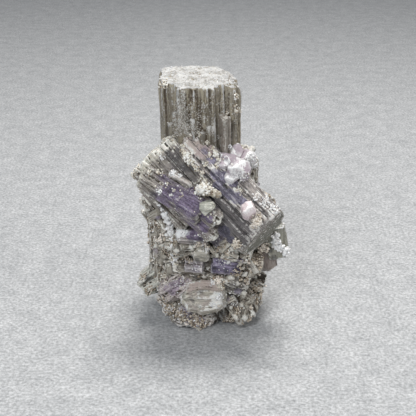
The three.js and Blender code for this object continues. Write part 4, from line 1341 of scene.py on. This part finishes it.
# ---- Left foot crystal -------------------------------------------------------------------
# A short column that slants out and down to the left, greenish grey and coarsely striated. Its
# inner end is grown into the foot and its outer end is broken off ragged.
LEFT_FOOT_START = (-11, -6, 19.4)
LEFT_FOOT_END = (-22, -3.2, 10.6)
left_foot_long = length_between(LEFT_FOOT_START, LEFT_FOOT_END)
left_foot = bundle("left_foot_crystal", hex_outline(8.6, 8), left_foot_long, 1.5, 67, sunk=0.6,
                   proud=0.5, uneven=(1, 2.4), broken=0.4, end_rib=2.0, plates=4, lean=2)
fuse(left_foot, 0.22)
roughen(left_foot, [(3, 2, 1.0), (1.0, 6, 0.5), (0.6, 1.2, 0.3)], 67)
mark_growth(left_foot, left_foot_long, 67)
lay(left_foot, LEFT_FOOT_START, LEFT_FOOT_END)
seen = looker([left_foot])
stain(left_foot, "pale", [(142, 281, 1.4), (152, 268, 1), (150, 288, 1)], seen)
# These dark spots multiply the colour darker, as painted shade.
stain(left_foot, "dark", [(148, 279, 1.4), (158, 290, 1.4), (162, 268, 1.2)], seen)
left_foot.data.materials.append(aragonite(
    "left foot aragonite", dark=(0.25, 0.24, 0.2), light=(0.86, 0.85, 0.76),
    cloudy=(0.6, 0.59, 0.53), frost=(0.82, 0.79, 0.72), frost_amount=0.3, dirt_and_shade_amount=0.55))
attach(left_foot, "root")
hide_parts("left_foot_crystal")
crystals.append(left_foot)


# ---- Cream druse knob --------------------------------------------------------------------
# Four lumps of tiny crystals grown into one knob in the middle of the front, cream at the left
# and brown at the right. Grains of druse are seated on it further down.
KNOB_LUMPS = [(-2.3, -21.4, 51.2, 1.6), (-0.7, -22, 50.7, 1.7), (0.9, -22, 50.2, 1.3),
              (2.3, -21.7, 49.6, 1.1)]
knob = lumpy("cream_druse_knob", KNOB_LUMPS, 0.2, 93, [(1.6, 1, 1.0), (0.7, 1, 0.5)])
knob.data.materials.append(aragonite(
    "knob aragonite", dark=(0.4, 0.33, 0.24), light=(0.68, 0.62, 0.5), frost=(0.85, 0.81, 0.72),
    frost_amount=0.2, dirt_and_shade_amount=0.3, dirt_and_shade_colour=(0.2, 0.15, 0.09)))
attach(knob, "root")
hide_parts("cream_druse_knob")
crystals.append(knob)


# ---- Cream druse -------------------------------------------------------------------------
# The youngest growth is druse: thousands of stubby pointed crystals, most of them under a
# millimetre long. The cream ones cover the knob, the blades' tips and the slanting column's
# seams.
CREAM_SPOTS = [(200, 191, 5, 170, (0.5, 1.2), 0.9), (206, 188, 5, 90, (0.4, 1.0), 0.8),
               (183, 151, 3, 30), (187, 157, 4, 60, (0.5, 1.2), 0.8), (191, 163, 3, 34),
               (183, 145, 2.5, 18), (190, 136, 2.5, 18, (0.3, 0.8)), (199, 135, 2, 14, (0.3, 0.8)),
               (196, 168, 3, 24), (207, 142, 2, 14, (0.3, 0.8)), (213, 149, 2.5, 16),
               (216, 166, 2, 10), (209, 156, 2.5, 14), (215, 154, 3, 24, (0.5, 1.2), 0.8),
               (219, 160, 2.5, 16), (206, 164, 3, 14), (201, 172, 3, 16), (204, 180, 3, 14),
               (149, 172, 3, 12), (158, 171, 3, 16), (162, 173, 2, 8),
               (161, 184, 2, 8, (0.3, 0.7)), (167, 185, 2, 8, (0.3, 0.7)),
               (174, 190, 2, 8, (0.3, 0.7)), (182, 196, 2, 6, (0.3, 0.7)), (237, 110, 4, 50),
               (227, 113, 2, 12), (164, 84, 4, 40), (236, 96, 3, 16), (239, 190, 3, 20),
               (236, 245, 5, 40), (230, 250, 4, 30), (246, 256, 4, 20), (171, 255, 5, 40),
               (176, 262, 5, 40), (164, 276, 5, 40), (208, 268, 2, 20, (0.4, 0.8), 0.9),
               (152, 262, 4, 20), (163, 262, 5, 30), (222, 287, 3, 20)]
DRUSE_PATCHES = 140
DRUSE_OFF_FLOOR = 0.0015

bpy.ops.object.select_all(action="DESELECT")
bpy.ops.mesh.primitive_cylinder_add(vertices=5, radius=0.5, depth=0.62, location=(0, 0, 0.31))
grain_shape = bpy.context.object
bpy.ops.object.transform_apply(location=True)
bpy.ops.object.mode_set(mode="EDIT")
bpy.ops.mesh.select_mode(type="FACE")
bpy.ops.mesh.select_all(action="DESELECT")
bpy.ops.object.mode_set(mode="OBJECT")
for face in grain_shape.data.polygons:
    face.select = face.normal.z > 0.9
bpy.ops.object.mode_set(mode="EDIT")
bpy.ops.mesh.extrude_region_move(TRANSFORM_OT_translate={"value": (0.08, 0, 0.38)})
bpy.ops.transform.resize(value=(0.25, 0.45, 1))
bpy.ops.object.mode_set(mode="OBJECT")
grain_shape.name = "grain_shape"

look = looker(crystals)


class Seats:
    """Where the grains of one piece of druse sit, their sizes and their tones."""

    def __init__(self, seed, stout=(0.7, 1.1), sunk=0.2):
        self.chance = np.random.RandomState(seed)
        self.stout = stout
        self.sunk = sunk
        self.places = []
        self.tones = []

    def seat(self, point, normal, size, tone, spill=0.5):
        """One grain at a point of a surface. Spill is how far it may lean over."""
        chance = self.chance
        way = Vector(normal) + Vector(chance.normal(0, spill, 3))
        turned = way.normalized().to_track_quat("Z", "Y").to_matrix().to_4x4()
        spin = Matrix.Rotation(chance.uniform(0, math.tau), 4, "Z")
        wide = size * 0.001 * chance.uniform(*self.stout)
        shape = Matrix.Diagonal((wide, wide * chance.uniform(0.7, 1), size * 0.001, 1))
        sunk = Matrix.Translation((0, 0, -self.sunk))
        self.places.append(Matrix.Translation(point) @ turned @ spin @ shape @ sunk)
        self.tones.append(min(1, max(0, tone + chance.normal(0, 0.26))))

    def measure(self, size):
        """A size in a range, more often small than big."""
        return size[0] + (size[1] - size[0]) * self.chance.uniform() ** 1.6

    def cluster(self, across, down, reach, count, size=(0.4, 0.9), tone=0.5, spill=0.5):
        """Grains round a place in the camera's view, so many, within so many pixels of it."""
        for _ in range(count):
            u = across + self.chance.normal(0, reach * 0.5)
            v = down + self.chance.normal(0, reach * 0.5)
            point, normal = look(u, v)
            if point is not None:
                self.seat(point, normal, self.measure(size), tone, spill)

    def sprinkle(self, thing, count, size, tone, patch=0.1, facing=-0.2, stretch=(-9, 9),
                 spill=0.5):
        """Grains all over a thing or a stretch of its length, more in some patches, where it
        faces up enough."""
        points = arrays_of(thing.data)[0]
        normals = normals_of(thing.data)
        along = np.empty(len(points))
        thing.data.attributes["along"].data.foreach_get("value", along)
        there = np.flatnonzero((along > stretch[0]) & (along < stretch[1]))
        tries = there[self.chance.randint(len(there), size=count * 6)]
        left = count
        for n in tries:
            if left and normals[n, 2] + 0.4 * self.chance.uniform(-1, 1) > facing:
                patchy = noise.noise(Vector(points[n] * DRUSE_PATCHES))
                if points[n, 2] > DRUSE_OFF_FLOOR and patchy > patch:
                    self.seat(points[n], normals[n], self.measure(size), tone, spill)
                    left -= 1

    def grow(self, name):
        """The piece of druse itself, with the tone of each grain and the height within it."""
        made = copies(name, grain_shape, [np.array(place) for place in self.places])
        each = len(grain_shape.data.vertices)
        heights = arrays_of(grain_shape.data)[0][:, 2]
        keep(made.data, "tone", np.repeat(self.tones, each))
        keep(made.data, "height", np.tile(heights, len(self.places)))
        return made


def druse_finish(name, deep, middle, pale, root):
    """Grains that run from deep to pale in tone, with painted shade that darkens them towards
    the root colour at their bases and where they lie deep between crystals.
    """
    material = bpy.data.materials.new(name)
    material.use_nodes = True
    tree = material.node_tree
    surface = tree.nodes["Principled BSDF"]
    tone = add(tree, "ShaderNodeAttribute", (-900, 200), attribute_name="tone")
    height = add(tree, "ShaderNodeAttribute", (-900, -200), attribute_name="height")
    where = add(tree, "ShaderNodeTexCoord", (-1100, -400))
    cloud = add(tree, "ShaderNodeTexNoise", (-900, -400), Scale=900, Detail=3, Roughness=0.6)
    ramp = add(tree, "ShaderNodeValToRGB", (-700, 200))
    ramp.color_ramp.elements[0].color = (*deep, 1)
    ramp.color_ramp.elements[1].color = (*pale, 1)
    ramp.color_ramp.elements.new(0.5).color = (*middle, 1)
    gap_shade = add(tree, "ShaderNodeAttribute", (-900, -600), attribute_name="gap_shade")
    # Painted shade: each grain darkens towards the root colour at its base and where it lies deep
    # between crystals.
    shade = maths(tree, "MULTIPLY_ADD", (-650, -200), cloud.outputs["Fac"], 0.6,
                  height.outputs["Fac"])
    shade = maths(tree, "MULTIPLY_ADD", (-550, -300), gap_shade.outputs["Fac"], -0.45, shade)
    unshaded = spread(tree, (-450, -200), shade, 0.35, 1.0)
    colour = blend(tree, (-250, 200), unshaded, root, ramp.outputs["Color"])
    wire(tree, (where.outputs["Object"], cloud.inputs["Vector"]),
         (tone.outputs["Fac"], ramp.inputs["Fac"]), (colour, surface.inputs["Base Color"]))
    surface.inputs["Roughness"].default_value = 0.18
    surface.inputs["IOR"].default_value = 1.62
    surface.inputs["Subsurface Weight"].default_value = 0.15
    surface.inputs["Subsurface Radius"].default_value = (1.0, 0.85, 0.75)
    surface.inputs["Subsurface Scale"].default_value = 0.0004
    return material


cream = Seats(101)
for spot in CREAM_SPOTS:
    cream.cluster(*spot)
for thing, count in ((slanting, 60), (white_blocks, 40), (foot_violet, 50), (left_foot, 40)):
    cream.sprinkle(thing, count, (0.3, 0.8), 0.6)
for thing in crystals:
    if thing.name.startswith("slanting_blade"):
        cream.sprinkle(thing, 16, (0.3, 0.8), 0.6)
        cream.sprinkle(thing, 60, (0.25, 0.65), 0.55, patch=-1, facing=-1, stretch=(-1, 0.1))
cream_druse = cream.grow("cream_druse")
cream_druse.data.materials.append(druse_finish(
    "cream druse", (0.5, 0.41, 0.3), (0.82, 0.77, 0.67), (0.98, 0.97, 0.93), (0.2, 0.14, 0.085)))
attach(cream_druse, "root")
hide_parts("cream_druse_knob", "grown_columns")


# ---- White druse -------------------------------------------------------------------------
# White grains of the same sort: a vein of them down the left of the waist, patches on the white
# blocks and the right side crystal, and single ones that spark all over the foot.
WHITE_SPOTS = [(159, 205, 1, 10, (0.4, 0.9)), (162, 209, 1, 14, (0.4, 0.9)),
               (165, 214, 1, 26, (0.7, 1.6)), (167, 218, 1.8, 40, (0.6, 1.5)),
               (169, 222, 2.2, 60, (0.6, 1.6)), (170, 227, 2.8, 70, (0.6, 1.6)),
               (171, 232, 2.8, 70, (0.6, 1.5)), (172, 239, 1.4, 40), (172, 246, 1.2, 34),
               (172, 254, 1.2, 30), (173, 262, 2, 40), (157, 231, 2.5, 40, (0.5, 1.2)),
               (176, 258, 3, 40, (0.4, 1.1)), (183, 233, 2.4, 34, (0.3, 0.7)),
               (228, 261, 3, 30, (0.3, 0.8)), (222, 263, 8, 30, (0.25, 0.5)),
               (196, 268, 7, 24, (0.25, 0.5)), (205, 242, 10, 40, (0.25, 0.6)),
               (180, 284, 9, 40, (0.25, 0.6)), (232, 300, 10, 30, (0.3, 0.7)), (206, 250, 3, 14),
               (251, 157, 4, 60), (254, 166, 3, 30), (243, 176, 4, 20),
               (279, 247, 3, 50, (0.6, 1.4)), (286, 251, 3, 60, (0.6, 1.4)),
               (286, 258, 3, 40, (0.6, 1.3)), (276, 236, 3, 40, (0.6, 1.4)), (266, 200, 5, 30),
               (272, 207, 5, 30), (276, 242, 3, 60, (0.6, 1.5)), (275, 246, 2.5, 24, (0.5, 1.2)),
               (277, 211, 4, 24), (262, 204, 4, 16), (256, 198, 4, 14), (162, 158, 3, 10),
               (173, 173, 2.5, 30, (0.3, 0.8)), (180, 176, 2, 14, (0.3, 0.7)), (161, 141, 2, 10),
               (171, 265, 3, 30), (218, 298, 3, 20, (0.5, 1.1)), (212, 305, 3, 16),
               (160, 192, 3, 16), (171, 195, 2, 10), (244, 301, 1.5, 8), (213, 283, 3, 24),
               (229, 147, 2.5, 12), (198, 188, 3, 20)]
white = Seats(102)
for across, down, reach, count, *size in WHITE_SPOTS:
    white.cluster(across, down, reach, count, size=size[0] if size else (0.35, 0.8), tone=0.75)
white.sprinkle(upright, 400, (0.2, 0.6), 0.6, patch=-1, facing=0.6)
for thing in crystals:
    if thing.name in (*FINE_SETS, "foot_lumps"):
        white.sprinkle(thing, 190, (0.3, 0.8), 0.85, patch=0, facing=0)
white_druse = white.grow("white_druse")
white_druse.data.materials.append(druse_finish(
    "white druse", (0.75, 0.73, 0.71), (0.9, 0.89, 0.88), (0.98, 0.975, 0.97), (0.5, 0.47, 0.45)))
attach(white_druse, "root")
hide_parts("grown_columns", "white_blocks")


# ---- Brown druse -------------------------------------------------------------------------
# Brown and peach grains, which crowd the waist's right side, the foot, the end of every column
# at the back, and the shelter under the slanting column.
BROWN_SPOTS = [(257, 220, 5, 90, (0.5, 1.0), 0.85), (254, 224, 4, 40, (0.5, 0.9), 0.9),
               (250, 268, 7, 70, (0.4, 1.2), 0.6), (240, 272, 6, 50), (258, 262, 5, 30),
               (246, 280, 6, 40), (232, 276, 4, 30), (265, 248, 5, 70, (0.5, 1.3), 0.8),
               (260, 254, 4, 30), (216, 250, 5, 30), (224, 248, 4, 24), (208, 246, 4, 16),
               (236, 244, 4, 40, (0.4, 1.2), 0.8), (226, 252, 5, 30, (0.4, 1.2), 0.7),
               (178, 250, 5, 40), (173, 243, 4, 24), (159, 238, 5, 60, (0.5, 1.2), 0.9),
               (154, 246, 4, 40), (163, 250, 5, 40), (156, 228, 4, 24), (188, 258, 4, 24),
               (218, 280, 4, 50, (0.5, 1.0), 0.85), (214, 277, 3, 20), (176, 256, 4, 24),
               (252, 300, 6, 50), (240, 310, 7, 60), (256, 288, 5, 50), (248, 320, 6, 40),
               (232, 318, 5, 40), (226, 322, 4, 24), (250, 308, 2, 20, (0.5, 1), 0.9),
               (183, 316, 5, 50), (194, 322, 6, 60), (203, 325, 5, 50), (170, 312, 4, 30),
               (166, 303, 5, 40), (144, 276, 4, 20), (150, 288, 5, 30), (205, 187, 4, 30),
               (210, 192, 3, 24, (0.4, 0.8), 0.35), (199, 245, 3, 16), (226, 256, 3, 16)]
brown = Seats(103)
for spot in BROWN_SPOTS:
    brown.cluster(*spot)
for thing in crystals:
    if thing.name in (*FINE_SETS, "foot_lumps"):
        brown.sprinkle(thing, 260, (0.35, 1.2), 0.6, patch=0.1)
    if thing.name in (*BACK_SETS, "foot_core"):
        brown.sprinkle(thing, 300, (0.4, 1.1), 0.7, patch=-0.1, facing=-1, stretch=(0.93, 2))
        brown.sprinkle(thing, 300, (0.4, 1.0), 0.5, patch=0.0)
brown_druse = brown.grow("brown_druse")
brown_druse.data.materials.append(druse_finish(
    "brown druse", (0.24, 0.185, 0.125), (0.56, 0.48, 0.38), (0.95, 0.87, 0.78),
    (0.1, 0.07, 0.045)))
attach(brown_druse, "root")
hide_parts("grown_columns")


# ---- Sugar crust -------------------------------------------------------------------------
# The finest crust, grey and sugary: a triangle of it runs down the front of the upright column,
# and a little lies in the steps of its ribs.
SUGAR_SPOTS = [(183, 92, 3, 60), (182, 98, 4, 90), (181, 106, 5, 130), (181, 114, 7, 170),
               (183, 122, 8, 200), (188, 129, 9, 180), (178, 131, 6, 90), (198, 131, 6, 60),
               (186, 107, 4, 40), (212, 101, 4, 14), (203, 106, 2, 16), (225, 119, 2.5, 16),
               (211, 133, 2.5, 30), (218, 137, 3, 16), (236, 121, 3, 16), (170, 138, 3, 16),
               (200, 115, 16, 150), (222, 105, 12, 60)]
sugar = Seats(104)
for spot in SUGAR_SPOTS:
    sugar.cluster(*spot, size=(0.22, 0.6), tone=0.5, spill=0.9)
sugar_crust = sugar.grow("sugar_crust")
sugar_crust.data.materials.append(druse_finish(
    "sugar crust", (0.26, 0.235, 0.19), (0.48, 0.45, 0.4), (0.78, 0.75, 0.7), (0.18, 0.15, 0.11)))
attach(sugar_crust, "root")
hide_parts("grown_columns")


# ---- Chips -------------------------------------------------------------------------------
# Small squared crystals a few millimetres long that lie at all angles between the big ones, in
# the waist, the foot and the flanks. Olive and cream, a few of them violet.
CHIP_SPOTS = [(178, 250, 8, 6), (190, 258, 8, 6), (205, 250, 8, 5), (216, 250, 8, 4),
              (228, 252, 8, 6), (240, 262, 8, 6), (250, 272, 8, 8), (160, 250, 8, 8),
              (158, 232, 6, 5), (155, 215, 6, 5), (168, 270, 8, 8), (236, 276, 6, 4),
              (232, 300, 7, 4), (246, 304, 8, 6), (238, 316, 8, 5), (165, 306, 6, 2),
              (178, 316, 7, 2), (198, 322, 8, 3), (250, 290, 7, 6), (258, 250, 5, 5)]
bpy.ops.object.select_all(action="DESELECT")
bpy.ops.mesh.primitive_cylinder_add(vertices=4, radius=0.55, depth=1, location=(0, 0, 0.5))
chip_shape = bpy.context.object
chip_shape.name = "chip_shape"
bpy.ops.object.transform_apply(location=True)
bpy.ops.object.modifier_add(type="BEVEL")
chip_shape.modifiers["Bevel"].width = 0.08
chip_shape.modifiers["Bevel"].segments = 1
bpy.ops.object.modifier_apply(modifier="Bevel")
chip_points = arrays_of(chip_shape.data)[0]
chip_tips = normals_of(chip_shape.data)[:, 2]
look = looker([thing for thing in crystals if thing.name in
               (*FINE_SETS, "foot_lumps", "foot_core")])
chips = Seats(105, stout=(0.4, 0.8), sunk=0.48)
for spot in CHIP_SPOTS:
    chips.cluster(*spot, size=(1.8, 4.4), spill=1.8)
for thing in crystals:
    if thing.name in FINE_SETS:
        chips.sprinkle(thing, 20, (1.2, 2.8), 0.5, patch=-0.1, spill=1.4)
    if thing.name in (*BACK_SETS, "foot_core"):
        chips.sprinkle(thing, 70, (1.4, 4), 0.5, patch=-0.1, spill=1.4)
chip_druse = copies("chip_druse", chip_shape, [np.array(place) for place in chips.places])
chip_sizes = np.array([place.to_scale() for place in chips.places]) * 1000
chip_shifts = chips.chance.uniform(-90, 90, (len(chip_sizes), 1, 3))
keep(chip_druse.data, "own", chip_points[None] * chip_sizes[:, None] + chip_shifts, "FLOAT_VECTOR")
keep(chip_druse.data, "along", np.tile(chip_points[:, 2], len(chip_sizes)))
keep(chip_druse.data, "tip", np.tile(chip_tips, len(chip_sizes)))
# A made-up hollow that deepens towards each chip's root, so dirt and painted shade gather at its
# base.
keep(chip_druse.data, "hollow", np.tile(chip_points[:, 2] * 0.3 - 0.2, len(chip_sizes)))
chip_violets = chips.chance.uniform(-1.5, 0.6, len(chip_sizes))
keep(chip_druse.data, "violet", np.repeat(np.clip(chip_violets, 0, 1), len(chip_points)))
chip_pales = chips.chance.uniform(-0.6, 1.2, len(chip_sizes))
keep(chip_druse.data, "pale", np.repeat(np.clip(chip_pales, 0, 1.2), len(chip_points)))
chip_druse.data.materials.append(aragonite(
    "chip aragonite", dark=(0.14, 0.115, 0.09), light=(0.68, 0.63, 0.54),
    cloudy=(0.44, 0.41, 0.345), violet=(0.22, 0.18, 0.24), frost=(0.88, 0.85, 0.78),
    frost_amount=0.3, ends_amount=0.3, dirt_and_shade_amount=0.4, line_width=0.6))
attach(chip_druse, "root")
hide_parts("grown_columns")


# ---- Painted shade in the gaps -----------------------------------------------------------
# Brown painted shade lies deep in the gaps between the crystals, darkening them as shade would.
# Where it is comes from how much crystal there is just in front of each point, counted in a grid
# of small cells over the whole cluster.
SHADE_CELL = 0.0006
SHADE_AHEAD = 0.0014
SHADE_FROM = 0.7
SHADE_FULL = 2.0
gap_shaded = crystals + [cream_druse, white_druse, brown_druse, sugar_crust, chip_druse]
shade_corner = np.array(cad_box[0]) - 0.01
shade_cells = np.ceil((np.array(cad_box[1]) + 0.01 - shade_corner) / SHADE_CELL).astype(int)


def cell_numbers(cells):
    """The number of each cell, from its place along X, Y and Z."""
    cells = np.clip(cells, 0, shade_cells - 1)
    return (cells[:, 0] * shade_cells[1] + cells[:, 1]) * shade_cells[2] + cells[:, 2]


crowd = np.zeros(np.prod(shade_cells))
for thing in crystals + [chip_druse]:
    faces = thing.data.polygons
    areas = np.empty(len(faces))
    faces.foreach_get("area", areas)
    middles = np.empty(len(faces) * 3)
    faces.foreach_get("center", middles)
    cells = ((middles.reshape(-1, 3) - shade_corner) / SHADE_CELL).astype(int)
    crowd += np.bincount(cell_numbers(cells), weights=areas, minlength=len(crowd))
crowd = crowd.reshape(shade_cells) / SHADE_CELL ** 3 * 0.001
for axis in (0, 1, 2, 0, 1, 2):
    crowd = sum(np.roll(crowd, shift, axis) for shift in (-1, 0, 1)) / 3
crowd = crowd.ravel()
# Painted shade: how deep between crystals each point lies, from 0 to 1.
for thing in gap_shaded:
    points = arrays_of(thing.data)[0]
    ahead = (points + normals_of(thing.data) * SHADE_AHEAD - shade_corner) / SHADE_CELL - 0.5
    low = np.floor(ahead).astype(int)
    share = ahead - low
    found = np.zeros(len(points))
    for corner in np.ndindex(2, 2, 2):
        weight = np.prod(np.where(corner, share, 1 - share), axis=1)
        found += weight * crowd[cell_numbers(low + corner)]
    keep(thing.data, "gap_shade", np.clip((found - SHADE_FROM) / (SHADE_FULL - SHADE_FROM), 0, 1))

bpy.data.objects.remove(rib_shape)
bpy.data.objects.remove(chip_shape)
bpy.data.objects.remove(grain_shape)
